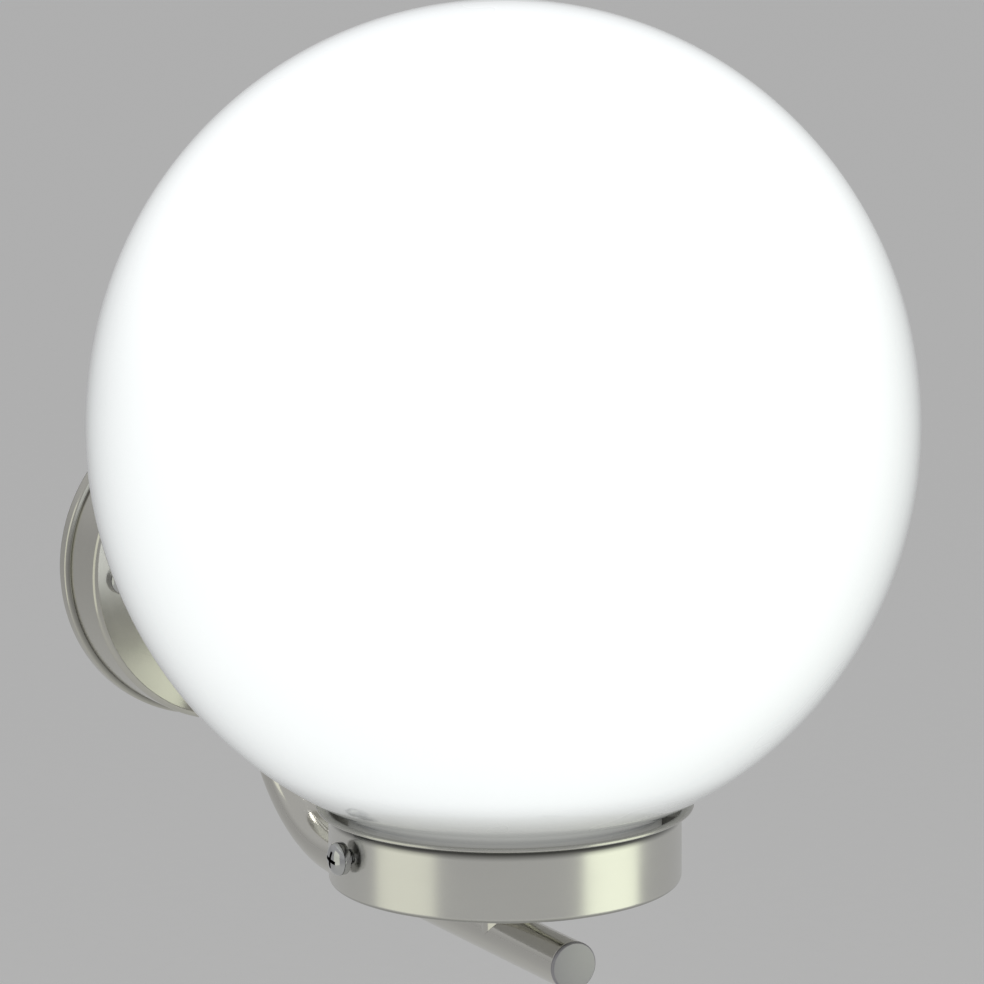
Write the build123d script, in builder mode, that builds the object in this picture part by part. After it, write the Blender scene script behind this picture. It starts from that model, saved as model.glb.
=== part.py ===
from build123d import *
import math
import os

# Outdoor wall light: an opal globe standing on a stainless steel gallery, held out from
# the wall by a bent tube that leaves a round wall rose. Millimetres, +Z up, the light
# stands out from the wall towards -Y, and the origin is the centre of the wall strap's
# fixing holes, on the wall's face.

os.makedirs("parts", exist_ok=True)

# Driving dimensions of the whole light
REACH = 165.0             # wall face to the upright axis of the globe
GLOBE_RADIUS = 100.0
GLOBE_HALF_HEIGHT = 101.8
GLOBE_CENTRE_Z = 60.5
GLOBE_WALL = 2.0
HALVINGS = 60
NECK_RADIUS = 38.2
NECK_FILLET = 5.0
BALL_BOTTOM_Z = -37.3     # where the ball ends and its straight neck begins
BAR_Z = -65.6             # axis of the straight lower run of the arm

# Gallery, the cup that holds the neck of the globe
GALLERY_RADIUS = 43.0
GALLERY_RIM_RADIUS = 46.0
GALLERY_BASE_Z = -51.3
GALLERY_RIM_Z = -32.3
SHEET = 0.8
GALLERY_CORNER = 1.2
GALLERY_FLARE = 2.1
EDGE_ROUND = 0.3

# Arm tube and the short post between arm and gallery
TUBE_RADIUS = 6.0
TUBE_WALL = 1.0
ARM_FRONT = 198.7         # wall face to the flat front end of the arm
ARM_DROP_Y = -33.5        # axis of the upright run behind the globe
UPPER_BEND = 14.0
LOWER_BEND = 46.0
ARM_START_Y = -13.0
END_CAP_DISC = 1.0
END_CAP_SPIGOT = 4.0
POST_HOLE_RADIUS = 4.2
WELD_GAP = 0.03

# Wall rose
ROSE_RADIUS = 42.0
ROSE_RIM_RADIUS = 43.4
ROSE_DEPTH = 19.5
ROSE_RIM_DEPTH = 3.9
ROSE_STEP = 0.5
ROSE_EDGE = 1.6
ROSE_STEP_ROUND = 0.4
ROSE_RIM_ROUND = 0.9
ROSE_GASKET = 0.8
ROSE_GASKET_WIDTH = 3.6
ROSE_GASKET_INSET = 0.4
ROSE_SCREW_X = 33.8
ROSE_SCREW_HOLE = 2.26
STRAP_THICKNESS = 1.5
STRAP_LENGTH = 76.0
STRAP_WIDTH = 20.0
WALL_HOLE_SPACING = 40.0
WALL_HOLE_RADIUS = 2.5
TAB_WIDTH = 40.0
TAB_CENTRE_X = 6.0
TAB_TOP_Z = 30.0
TAB_ROUND = 3.0
INLET_HOLE_RADIUS = 7.0
INLET_BORE_RADIUS = 3.5
GROMMET_LIP = 2.0
PILLAR_RADIUS = 3.2
PILLAR_GAP = 0.5
COLLAR_LENGTH = 2.5
COLLAR_WALL = 4.0
BUSH_WALL = 1.4
BUSH_LIP = 1.2
BUSH_DEPTH = 5.0

# Screws: M4 round heads with a cross recess, and the pair that pinches the globe's neck
M4_RADIUS = 2.0
M4_BORE = 2.06
M4_HEAD_RADIUS = 4.0
M4_HEAD_SIDE = 1.5
M4_HEAD_HEIGHT = 3.7
RECESS_LENGTH = 4.2
RECESS_WIDTH = 0.85
RECESS_DEPTH = 1.7
RECESS_TAPER = 8.0
GLOBE_SCREW_Z = -40.7
GLOBE_SCREW_HEAD_R = 44.35  # underside of the head, from the upright axis
GLOBE_SCREW_TIP_GAP = 0.3
GLOBE_NUT_ACROSS = 7.0
GLOBE_NUT_THICKNESS = 2.3
GLOBE_NUT_OUTER = 41.95
ROSE_SCREW_LENGTH = 8.0
TIP_CHAMFER = 0.4

# Threaded nipple stack
M10_RADIUS = 5.0
M10_BORE = 5.05
NIPPLE_BORE = 3.9
NIPPLE_BOTTOM_Z = -58.5
NIPPLE_TOP_Z = -38.0
WASHER_RADIUS = 9.0
WASHER_THICKNESS = 1.0
NUT_ACROSS = 14.0
NUT_THICKNESS = 3.0
GASKET_THICKNESS = 1.2
GASKET_INNER = 34.5
GASKET_OUTER = 41.5
SEAT_GAP = 0.2

# Lampholder, screw base of 27 mm
HOLDER_RADIUS = 19.5
HOLDER_TOP_Z = 10.0
HOLDER_JOINT_Z = -26.0
HOLDER_BASE_Z = -46.3
HOLDER_BORE = 14.0
HOLDER_SOCKET = 17.6
HOLDER_SHELF_Z = -19.0
HOLDER_CAP_RADIUS = 18.5
HOLDER_CAP_WALL = 2.0
HOLDER_COLLAR_RADIUS = 8.5
HOLDER_SKIRT = 7.0
HOLDER_SHOULDER = 7.0
HOLDER_LIP = 1.5
HOLDER_LEAD_IN = 1.0
CARRIER_RADIUS = 17.3
SHELL_INNER = 13.45
SHELL_OUTER = 13.9
TERMINAL_X = 6.5
TERMINAL_SCREW_X = 11.5
TERMINAL_SCREW_RADIUS = 1.5
TERMINAL_HEAD_RADIUS = 2.6
TERMINAL_HEAD_HEIGHT = 1.6
CONTACT_SHEET = 0.4
TONGUE_WIDTH = 6.0
TONGUE_BACK_X = -8.0
TONGUE_BEND_X = -3.0
TONGUE_RISE_X = -1.5
TONGUE_TIP_X = 2.5
TONGUE_GAP = 0.3
SIDE_CONTACT_X = 9.5
SIDE_CONTACT_LENGTH = 7.0
SIDE_CONTACT_WIDTH = 5.0

# Lamp: LED bulb of 60 mm diameter and 107 mm length
LAMP_TIP_Z = -15.0
LAMP_LENGTH = 107.0
LAMP_RADIUS = 30.0
LAMP_CAP_RADIUS = 13.1
LAMP_THREAD_DEPTH = 0.6
LAMP_THREAD_PITCH = 3.6
LAMP_THREAD_TURNS = 5
LAMP_CAP_BOTTOM_Z = -11.0
LAMP_CAP_LENGTH = 20.4
LAMP_CAP_SHEET = 0.5
LAMP_JOINT_Z = 48.0
LAMP_WALL = 1.2
LAMP_MID_ANGLE = 35.0
TIP_RADIUS = 4.5
TIP_HEIGHT = 1.2
TIP_ROUND = 0.8
INSULATOR_RADIUS = 4.8
INSULATOR_RISE = 2.0
HOUSING_GAP = 0.4
HOUSING_WALL = 1.6
HOUSING_IN_CAP = 6.4
HOUSING_STEP = 0.9
HOUSING_WAIST = 3.2
HOUSING_WAIST_RISE = 12.0
HOUSING_FOOT_SLOPE = 0.1
HOUSING_RIM_SLOPE = 0.45
BOARD_GAP = 0.4
BOARD_THICKNESS = 1.6
DIODE_COUNT = 10
DIODE_SIZE = 3.0
DIODE_HEIGHT = 0.8
DIODE_RING = 0.62         # radius of the ring of diodes as a share of the board's

# Wiring
WIRE_RADIUS = 1.0
WIRE_HOLE_RADIUS = 1.4
WIRE_OFFSET = 1.5
WIRE_LOW_BEND = 10.0
WIRE_TURN = 5.0
WIRE_IN_POLE = 3.0
WIRE_IN_CARRIER = 3.0
WIRE_BELOW_BLOCK = 5.0
WIRE_SET_BACK = 1.0
WIRE_ABOVE_NIPPLE = 1.0
WIRE_SPREAD_Z = 6.0
BLOCK_WIDTH = 24.0
BLOCK_HEIGHT = 14.0
BLOCK_DEPTH = 11.0
BLOCK_BOTTOM_Z = 12.0
POLE_PITCH = 8.0
POLE_WIDTH = 6.8
POLE_RAISE = 3.0
POLE_ROUND = 1.0
WELL_RADIUS = 1.9
WELL_DEPTH = 3.8
CLAMP_RADIUS = 1.7
CLAMP_LENGTH = 2.4
SCREW_SLOT = 0.6
SLOT_DEPTH = 0.9
BLOCK_WIRE_Y = -7.0
EARTH_X = 20.0
EARTH_Z = 19.0
EARTH_TIP_CHAMFER = 0.3
LUG_THICKNESS = 0.8
LUG_RADIUS = 4.2
LUG_TAIL_LENGTH = 6.0
LUG_TAIL_WIDTH = 3.2
EARTH_WIRE_TURN = 4.0
EARTH_WIRE_DROP = 4.5
EARTH_WIRE_LOW = 6.0
EARTH_WIRE_END = 5.5      # from the lug's centre down to the wire's end

# Values worked out from the driving dimensions
TUBE_BORE = TUBE_RADIUS - TUBE_WALL
GALLERY_FLOOR_Z = GALLERY_BASE_Z + SHEET
GASKET_TOP_Z = GALLERY_FLOOR_Z + GASKET_THICKNESS
NECK_BOTTOM_Z = GASKET_TOP_Z + SEAT_GAP
WASHER_TOP_Z = GALLERY_FLOOR_Z + WASHER_THICKNESS
LAMP_TOP_Z = LAMP_TIP_Z + LAMP_LENGTH
LAMP_CENTRE_Z = LAMP_TOP_Z - LAMP_RADIUS
ROSE_FACE_INNER_Y = -ROSE_DEPTH + SHEET
POST_TOP_Z = GALLERY_BASE_Z

UPRIGHT_AXIS = Axis((0, -REACH, 0), (0, 0, 1))
WALL_AXIS = Axis((0, 0, 0), (0, 1, 0))
# Half section of everything that turns about the globe's axis: local x is the radius,
# local y is the height
SECTION = Plane(origin=(0, -REACH, 0), x_dir=(1, 0, 0), z_dir=(0, -1, 0))
# Half section of everything that turns about the rose's axis: x is the radius, y is Y
ROSE_SECTION = Plane.XY


def level(z):
    """Horizontal plane on the globe's axis at height z."""
    return Plane(origin=(0, -REACH, z), x_dir=(1, 0, 0), z_dir=(0, 0, 1))


def facing_wall(x, y, z):
    """Upright plane that faces away from the wall at a point of the rose."""
    return Plane(origin=(x, y, z), x_dir=(1, 0, 0), z_dir=(0, -1, 0))


def add_ring(section, axis, inner, outer, low, high):
    """Plain ring about an axis, from its rectangular half section."""
    with BuildSketch(section) as outline:
        with BuildLine():
            Polyline((inner, low), (outer, low), (outer, high), (inner, high), close=True)
        make_face()
    revolve(outline.sketch, axis=axis)


def finish(piece, name):
    """Label a finished piece and write its STEP file."""
    piece.part.label = name
    export_step(piece.part, f"parts/{name}.step")
    print(f"{name:22s} {len(piece.part.solids()):2d} solids {piece.part.volume:12.1f} mm3")


def ball_section(inset):
    """Half section of the solid ball, every surface moved in by inset."""
    half_width = GLOBE_RADIUS - inset
    half_height = GLOBE_HALF_HEIGHT - inset
    neck = NECK_RADIUS - inset
    fillet_radius = NECK_FILLET + inset
    fillet_x = neck + fillet_radius
    # The centre of the fillet lies one fillet radius outside the ellipse, found by halving
    low = 0.0
    high = math.pi / 2
    for _ in range(HALVINGS):
        angle = (low + high) / 2
        slope = Vector(math.sin(angle) / half_width, -math.cos(angle) / half_height).normalized()
        if half_width * math.sin(angle) + fillet_radius * slope.X < fillet_x:
            low = angle
        else:
            high = angle
    touch = Vector(
        half_width * math.sin(angle), GLOBE_CENTRE_Z - half_height * math.cos(angle)
    )
    centre = touch + slope * fillet_radius
    foot = centre - Vector(fillet_radius, 0)
    middle = centre + ((touch - centre).normalized() + Vector(-1, 0)).normalized() * fillet_radius
    with BuildSketch(SECTION) as section:
        with BuildLine():
            EllipticalCenterArc(
                (0, GLOBE_CENTRE_Z),
                half_width,
                half_height,
                start_angle=math.degrees(angle) - 90,
                arc_size=180 - math.degrees(angle),
            )
            ThreePointArc(touch, middle, foot)
            Polyline(
                foot,
                (neck, BALL_BOTTOM_Z),
                (0, BALL_BOTTOM_Z),
                (0, GLOBE_CENTRE_Z + half_height),
            )
        make_face()
    return section.sketch


# Globe: blown opal ball, open at the bottom, its two halves one piece of glass
for lift, keep, name in ((WELD_GAP, Keep.TOP, "globe_top"), (0, Keep.BOTTOM, "globe_bottom")):
    with BuildPart() as half_ball:
        revolve(ball_section(0.0), axis=UPRIGHT_AXIS)
        revolve(ball_section(GLOBE_WALL), axis=UPRIGHT_AXIS, mode=Mode.SUBTRACT)
        split(bisect_by=level(GLOBE_CENTRE_Z + lift), keep=keep)
    finish(half_ball, name)

# Plain neck of the globe, of the same piece of glass
with BuildPart() as globe_neck:
    neck_top_z = BALL_BOTTOM_Z - WELD_GAP
    add_ring(SECTION, UPRIGHT_AXIS, NECK_RADIUS - GLOBE_WALL, NECK_RADIUS, NECK_BOTTOM_Z, neck_top_z)
finish(globe_neck, "globe_neck")

# Rubber ring under the globe's neck
with BuildPart() as globe_gasket:
    add_ring(SECTION, UPRIGHT_AXIS, GASKET_INNER, GASKET_OUTER, GALLERY_FLOOR_Z, GASKET_TOP_Z)
finish(globe_gasket, "globe_gasket")

# Gallery: spun cup with a rim that flares outwards
with BuildPart() as gallery:
    with BuildSketch(SECTION):
        with BuildLine():
            FilletPolyline(
                (M10_BORE + WELD_GAP, GALLERY_BASE_Z),
                (GALLERY_RADIUS, GALLERY_BASE_Z),
                (GALLERY_RADIUS, GALLERY_RIM_Z - SHEET),
                (GALLERY_RIM_RADIUS, GALLERY_RIM_Z - SHEET),
                radius=[GALLERY_CORNER, GALLERY_FLARE],
            )
            offset(amount=SHEET, side=Side.LEFT, closed=True)
        make_face()
    revolve(axis=UPRIGHT_AXIS)
    rim_edges = gallery.edges().filter_by(GeomType.CIRCLE).sort_by(SortBy.RADIUS)[-2:]
    fillet(rim_edges, EDGE_ROUND)
    with BuildSketch(Plane(origin=(0, -REACH, GLOBE_SCREW_Z), x_dir=(0, 1, 0), z_dir=(1, 0, 0))):
        Circle(M4_BORE)
    extrude(amount=GALLERY_RIM_RADIUS, both=True, mode=Mode.SUBTRACT)
finish(gallery, "gallery")

# Nuts welded inside the gallery for the pair of globe screws
with BuildPart() as gallery_nuts:
    for side in (-1, 1):
        face = Plane(
            origin=(side * GLOBE_NUT_OUTER, -REACH, GLOBE_SCREW_Z),
            x_dir=(0, 1, 0),
            z_dir=(-side, 0, 0),
        )
        with BuildSketch(face):
            RegularPolygon(radius=GLOBE_NUT_ACROSS / 2, side_count=6, major_radius=False)
            Circle(M4_BORE, mode=Mode.SUBTRACT)
        extrude(amount=GLOBE_NUT_THICKNESS)
finish(gallery_nuts, "gallery_nuts")


def add_screw(plane, length, tip_chamfer=TIP_CHAMFER):
    """Round-head M4 screw: the plane's origin is under the head, its z points out of it."""
    section = Plane(origin=plane.origin, x_dir=plane.x_dir, z_dir=plane.x_dir.cross(plane.z_dir))
    with BuildSketch(section) as outline:
        with BuildLine():
            Polyline(
                (0, M4_HEAD_HEIGHT),
                (0, -length),
                (M4_RADIUS - tip_chamfer, -length),
                (M4_RADIUS, tip_chamfer - length),
                (M4_RADIUS, 0),
                (M4_HEAD_RADIUS, 0),
                (M4_HEAD_RADIUS, M4_HEAD_SIDE),
            )
            EllipticalCenterArc(
                (0, M4_HEAD_SIDE),
                M4_HEAD_RADIUS,
                M4_HEAD_HEIGHT - M4_HEAD_SIDE,
                start_angle=0,
                arc_size=90,
            )
        make_face()
    revolve(outline.sketch, axis=Axis(plane.origin, plane.z_dir))
    with BuildSketch(plane.offset(M4_HEAD_HEIGHT)) as recess:
        Rectangle(RECESS_LENGTH, RECESS_WIDTH)
        Rectangle(RECESS_WIDTH, RECESS_LENGTH)
    extrude(recess.sketch, amount=-RECESS_DEPTH, taper=RECESS_TAPER, mode=Mode.SUBTRACT)


# Globe screws: a pair, left and right, each one its own moving piece
globe_screw_length = GLOBE_SCREW_HEAD_R - NECK_RADIUS - GLOBE_SCREW_TIP_GAP
for side, name in ((-1, "globe_screw_left"), (1, "globe_screw_right")):
    with BuildPart() as globe_screw:
        head_seat = Plane(
            origin=(side * GLOBE_SCREW_HEAD_R, -REACH, GLOBE_SCREW_Z),
            x_dir=(0, 0, 1),
            z_dir=(side, 0, 0),
        )
        add_screw(head_seat, globe_screw_length)
    finish(globe_screw, name)

# Arm: one bent tube from the rose to its open front end
with BuildPart() as arm_tube:
    with BuildLine(Plane.YZ) as arm_path:
        FilletPolyline(
            (ARM_START_Y, 0),
            (ARM_DROP_Y, 0),
            (ARM_DROP_Y, BAR_Z),
            (-ARM_FRONT + END_CAP_DISC, BAR_Z),
            radius=[UPPER_BEND, LOWER_BEND],
        )
    with BuildSketch(facing_wall(0, ARM_START_Y, 0)):
        Circle(TUBE_RADIUS)
        Circle(TUBE_BORE, mode=Mode.SUBTRACT)
    sweep(path=arm_path.line)
    with BuildSketch(level(BAR_Z)):
        Circle(POST_HOLE_RADIUS)
    extrude(amount=TUBE_RADIUS + TUBE_WALL, mode=Mode.SUBTRACT)
finish(arm_tube, "arm_tube")

# Flat cap that closes the front end of the arm
with BuildPart() as arm_end_cap:
    with BuildSketch(Plane(origin=(0, -ARM_FRONT, BAR_Z), x_dir=(1, 0, 0), z_dir=(0, 1, 0))):
        Circle(TUBE_RADIUS)
    extrude(amount=END_CAP_DISC - WELD_GAP)
    chamfer(arm_end_cap.edges().sort_by(Axis.Y)[0], EDGE_ROUND)
    with BuildSketch(
        Plane(origin=(0, END_CAP_DISC - WELD_GAP - ARM_FRONT, BAR_Z), x_dir=(1, 0, 0), z_dir=(0, 1, 0))
    ):
        Circle(TUBE_BORE - WELD_GAP)
    extrude(amount=END_CAP_SPIGOT)
finish(arm_end_cap, "arm_end_cap")

# Post: tapped tube, its foot cut to sit on the arm
with BuildPart() as post:
    with BuildSketch(level(BAR_Z)):
        Circle(TUBE_RADIUS)
        Circle(M10_BORE, mode=Mode.SUBTRACT)
    extrude(amount=POST_TOP_Z - WELD_GAP - BAR_Z)
    with BuildSketch(facing_wall(0, TUBE_RADIUS * 2 - REACH, BAR_Z)):
        Circle(TUBE_RADIUS + WELD_GAP)
    extrude(amount=TUBE_RADIUS * 4, mode=Mode.SUBTRACT)
finish(post, "post")

# Threaded nipple that joins lampholder, gallery and post, and carries the wires
with BuildPart() as nipple:
    with BuildSketch(level(NIPPLE_BOTTOM_Z)):
        Circle(M10_RADIUS)
        Circle(NIPPLE_BORE, mode=Mode.SUBTRACT)
    extrude(amount=NIPPLE_TOP_Z - NIPPLE_BOTTOM_Z)
    chamfer(nipple.edges().filter_by(GeomType.CIRCLE), EDGE_ROUND)
finish(nipple, "nipple")

# Washer and lock nut on the gallery's floor
with BuildPart() as nipple_washer:
    with BuildSketch(level(GALLERY_FLOOR_Z)):
        Circle(WASHER_RADIUS)
        Circle(M10_BORE, mode=Mode.SUBTRACT)
    extrude(amount=WASHER_THICKNESS)
finish(nipple_washer, "nipple_washer")

with BuildPart() as nipple_nut:
    with BuildSketch(level(WASHER_TOP_Z)):
        RegularPolygon(radius=NUT_ACROSS / 2, side_count=6, major_radius=False)
        Circle(M10_BORE, mode=Mode.SUBTRACT)
    extrude(amount=NUT_THICKNESS)
finish(nipple_nut, "nipple_nut")

# Lampholder cap: domed entry with a tapped collar
collar_top_z = NIPPLE_TOP_Z + SEAT_GAP
shoulder_z = HOLDER_JOINT_Z - HOLDER_SKIRT
with BuildPart() as lampholder_cap:
    with BuildSketch(SECTION):
        with BuildLine():
            Polyline(
                (M10_BORE, HOLDER_BASE_Z),
                (HOLDER_COLLAR_RADIUS, HOLDER_BASE_Z),
                (HOLDER_COLLAR_RADIUS, shoulder_z - HOLDER_SHOULDER),
                (HOLDER_CAP_RADIUS, shoulder_z),
                (HOLDER_CAP_RADIUS, HOLDER_JOINT_Z),
                (HOLDER_CAP_RADIUS - HOLDER_CAP_WALL, HOLDER_JOINT_Z),
                (HOLDER_CAP_RADIUS - HOLDER_CAP_WALL, shoulder_z + HOLDER_CAP_WALL / 2),
                (HOLDER_COLLAR_RADIUS, collar_top_z),
                (M10_BORE, collar_top_z),
                close=True,
            )
        make_face()
    revolve(axis=UPRIGHT_AXIS)
finish(lampholder_cap, "lampholder_cap")

# Lampholder body: the outer sleeve round the screw shell
lip_z = HOLDER_TOP_Z - HOLDER_LIP
with BuildPart() as lampholder_body:
    with BuildSketch(SECTION):
        with BuildLine():
            Polyline(
                (HOLDER_SOCKET, HOLDER_JOINT_Z + WELD_GAP),
                (HOLDER_RADIUS, HOLDER_JOINT_Z + WELD_GAP),
                (HOLDER_RADIUS, lip_z),
                (HOLDER_RADIUS - HOLDER_LIP, HOLDER_TOP_Z),
                (HOLDER_BORE + HOLDER_LEAD_IN, HOLDER_TOP_Z),
                (HOLDER_BORE, lip_z),
                (HOLDER_BORE, HOLDER_SHELF_Z),
                (HOLDER_SOCKET, HOLDER_SHELF_Z),
                close=True,
            )
        make_face()
    revolve(axis=UPRIGHT_AXIS)
finish(lampholder_body, "lampholder_body")

# Contact carrier: ceramic disc with the wire holes and terminal screws
carrier_bottom_z = HOLDER_JOINT_Z + WELD_GAP
carrier_top_z = HOLDER_SHELF_Z - WELD_GAP
wire_holes = [(-TERMINAL_X, 0), (TERMINAL_X, 0)]
terminal_holes = [(-TERMINAL_SCREW_X, 0), (TERMINAL_SCREW_X, 0)]
with BuildPart() as contact_carrier:
    with BuildSketch(level(carrier_bottom_z)):
        Circle(CARRIER_RADIUS)
        with Locations(*wire_holes):
            Circle(WIRE_HOLE_RADIUS, mode=Mode.SUBTRACT)
        with Locations(*terminal_holes):
            Circle(TERMINAL_SCREW_RADIUS + WELD_GAP, mode=Mode.SUBTRACT)
    extrude(amount=carrier_top_z - carrier_bottom_z)
finish(contact_carrier, "contact_carrier")

# Screw shell of the lampholder
with BuildPart() as screw_shell:
    add_ring(SECTION, UPRIGHT_AXIS, SHELL_INNER, SHELL_OUTER, HOLDER_SHELF_Z + WELD_GAP, lip_z)
finish(screw_shell, "screw_shell")

# Centre contact: sprung brass tongue under the lamp's tip
contact_low_z = carrier_top_z + WELD_GAP
contact_high_z = contact_low_z + CONTACT_SHEET
tongue_top_z = LAMP_TIP_Z - TONGUE_GAP
with BuildPart() as centre_contact:
    with BuildSketch(SECTION):
        with BuildLine():
            Polyline(
                (TONGUE_BACK_X, contact_high_z),
                (TONGUE_BEND_X, contact_high_z),
                (TONGUE_RISE_X, tongue_top_z),
                (TONGUE_TIP_X, tongue_top_z),
                (TONGUE_TIP_X, tongue_top_z - CONTACT_SHEET),
                (TONGUE_RISE_X + TONGUE_GAP, tongue_top_z - CONTACT_SHEET),
                (TONGUE_BEND_X + TONGUE_GAP, contact_low_z),
                (TONGUE_BACK_X, contact_low_z),
                close=True,
            )
        make_face()
    extrude(amount=TONGUE_WIDTH / 2, both=True)
finish(centre_contact, "centre_contact")

# Side contact: brass strip that touches the foot of the screw shell
with BuildPart() as side_contact:
    with BuildSketch(level(contact_low_z)):
        with Locations((SIDE_CONTACT_X, 0)):
            Rectangle(SIDE_CONTACT_LENGTH, SIDE_CONTACT_WIDTH)
    extrude(amount=CONTACT_SHEET)
finish(side_contact, "side_contact")

# Terminal screws under the carrier
with BuildPart() as holder_screws:
    with BuildSketch(level(carrier_top_z)):
        with Locations(*terminal_holes):
            Circle(TERMINAL_SCREW_RADIUS)
    extrude(amount=carrier_bottom_z - carrier_top_z)
    with BuildSketch(level(carrier_bottom_z)):
        with Locations(*terminal_holes):
            Circle(TERMINAL_HEAD_RADIUS)
            Rectangle(TERMINAL_HEAD_RADIUS * 3, SCREW_SLOT, mode=Mode.SUBTRACT)
    extrude(amount=-TERMINAL_HEAD_HEIGHT)
finish(holder_screws, "holder_screws")

# Lamp cap: rolled screw shell with rounded ridges
lamp_cap_top_z = LAMP_CAP_BOTTOM_Z + LAMP_CAP_LENGTH
root_radius = LAMP_CAP_RADIUS - LAMP_THREAD_DEPTH
cap_inner = root_radius - LAMP_CAP_SHEET
with BuildPart() as lamp_cap:
    with BuildSketch(SECTION):
        with BuildLine():
            ridge_z = LAMP_CAP_BOTTOM_Z
            for _ in range(LAMP_THREAD_TURNS):
                ThreePointArc(
                    (root_radius, ridge_z),
                    (LAMP_CAP_RADIUS, ridge_z + LAMP_THREAD_PITCH / 2),
                    (root_radius, ridge_z + LAMP_THREAD_PITCH),
                )
                ridge_z += LAMP_THREAD_PITCH
            Polyline(
                (root_radius, ridge_z),
                (root_radius, lamp_cap_top_z),
                (cap_inner, lamp_cap_top_z),
                (cap_inner, LAMP_CAP_BOTTOM_Z),
                (root_radius, LAMP_CAP_BOTTOM_Z),
            )
        make_face()
    revolve(axis=UPRIGHT_AXIS)
finish(lamp_cap, "lamp_cap")

# Black insulator and solder tip at the foot of the lamp cap
insulator_low_z = LAMP_TIP_Z + TIP_HEIGHT
insulator_top_z = LAMP_CAP_BOTTOM_Z + INSULATOR_RISE
with BuildPart() as lamp_insulator:
    with BuildSketch(SECTION):
        with BuildLine():
            Polyline(
                (0, insulator_low_z),
                (INSULATOR_RADIUS, insulator_low_z),
                (cap_inner, LAMP_CAP_BOTTOM_Z),
                (cap_inner - WELD_GAP, insulator_top_z),
                (0, insulator_top_z),
                close=True,
            )
        make_face()
    revolve(axis=UPRIGHT_AXIS)
finish(lamp_insulator, "lamp_insulator")

with BuildPart() as lamp_tip:
    with BuildSketch(level(LAMP_TIP_Z)):
        Circle(TIP_RADIUS)
    extrude(amount=TIP_HEIGHT - WELD_GAP)
    fillet(lamp_tip.edges().sort_by(Axis.Z)[0], TIP_ROUND)
finish(lamp_tip, "lamp_tip")

# Lamp housing: ribless plastic cone between cap and diffuser
joint_radius = math.sqrt(LAMP_RADIUS**2 - (LAMP_JOINT_Z - LAMP_CENTRE_Z) ** 2)
spigot_low_z = lamp_cap_top_z - HOUSING_IN_CAP
spigot_radius = cap_inner - WELD_GAP
housing_low_z = HOLDER_TOP_Z + HOUSING_GAP
housing_top_z = LAMP_JOINT_Z - WELD_GAP
waist_z = housing_low_z + HOUSING_WAIST_RISE
with BuildPart() as lamp_housing:
    with BuildSketch(SECTION):
        with BuildLine():
            Polyline(
                (spigot_radius, spigot_low_z),
                (spigot_radius, lamp_cap_top_z),
                (root_radius, lamp_cap_top_z + WELD_GAP),
                (root_radius + HOUSING_STEP, housing_low_z),
            )
            Spline(
                (root_radius + HOUSING_STEP, housing_low_z),
                (root_radius + HOUSING_WAIST, waist_z),
                (joint_radius, housing_top_z),
                tangents=[(HOUSING_FOOT_SLOPE, 1), (HOUSING_RIM_SLOPE, 1)],
            )
            Line((joint_radius, housing_top_z), (joint_radius - HOUSING_WALL, housing_top_z))
            Spline(
                (joint_radius - HOUSING_WALL, housing_top_z),
                (root_radius + HOUSING_WAIST - HOUSING_WALL, waist_z),
                (root_radius - HOUSING_WALL, spigot_low_z),
                tangents=[(-HOUSING_RIM_SLOPE, -1), (0, -1)],
            )
            Line((root_radius - HOUSING_WALL, spigot_low_z), (spigot_radius, spigot_low_z))
        make_face()
    revolve(axis=UPRIGHT_AXIS)
finish(lamp_housing, "lamp_housing")

# Round board that carries the light-emitting diodes, inside the diffuser
board_radius = joint_radius - HOUSING_WALL
with BuildPart() as lamp_board:
    with BuildSketch(level(LAMP_JOINT_Z)):
        Circle(board_radius - BOARD_GAP)
    extrude(amount=BOARD_THICKNESS)
    with BuildSketch(level(LAMP_JOINT_Z + BOARD_THICKNESS)):
        with PolarLocations(board_radius * DIODE_RING, DIODE_COUNT):
            Rectangle(DIODE_SIZE, DIODE_SIZE)
    extrude(amount=DIODE_HEIGHT)
finish(lamp_board, "lamp_board")

# Diffuser: thin opal dome
inner_radius = LAMP_RADIUS - LAMP_WALL
inner_joint = math.sqrt(inner_radius**2 - (LAMP_JOINT_Z - LAMP_CENTRE_Z) ** 2)
mid_angle = math.radians(LAMP_MID_ANGLE)
mid_direction = Vector(math.cos(mid_angle), math.sin(mid_angle))
lamp_centre = Vector(0, LAMP_CENTRE_Z)
with BuildPart() as lamp_diffuser:
    with BuildSketch(SECTION):
        with BuildLine():
            ThreePointArc(
                (joint_radius, LAMP_JOINT_Z),
                lamp_centre + mid_direction * LAMP_RADIUS,
                (0, LAMP_TOP_Z),
            )
            Line((0, LAMP_TOP_Z), (0, LAMP_TOP_Z - LAMP_WALL))
            ThreePointArc(
                (0, LAMP_TOP_Z - LAMP_WALL),
                lamp_centre + mid_direction * inner_radius,
                (inner_joint, LAMP_JOINT_Z),
            )
            Line((inner_joint, LAMP_JOINT_Z), (joint_radius, LAMP_JOINT_Z))
        make_face()
    revolve(axis=UPRIGHT_AXIS)
finish(lamp_diffuser, "lamp_diffuser")

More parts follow.
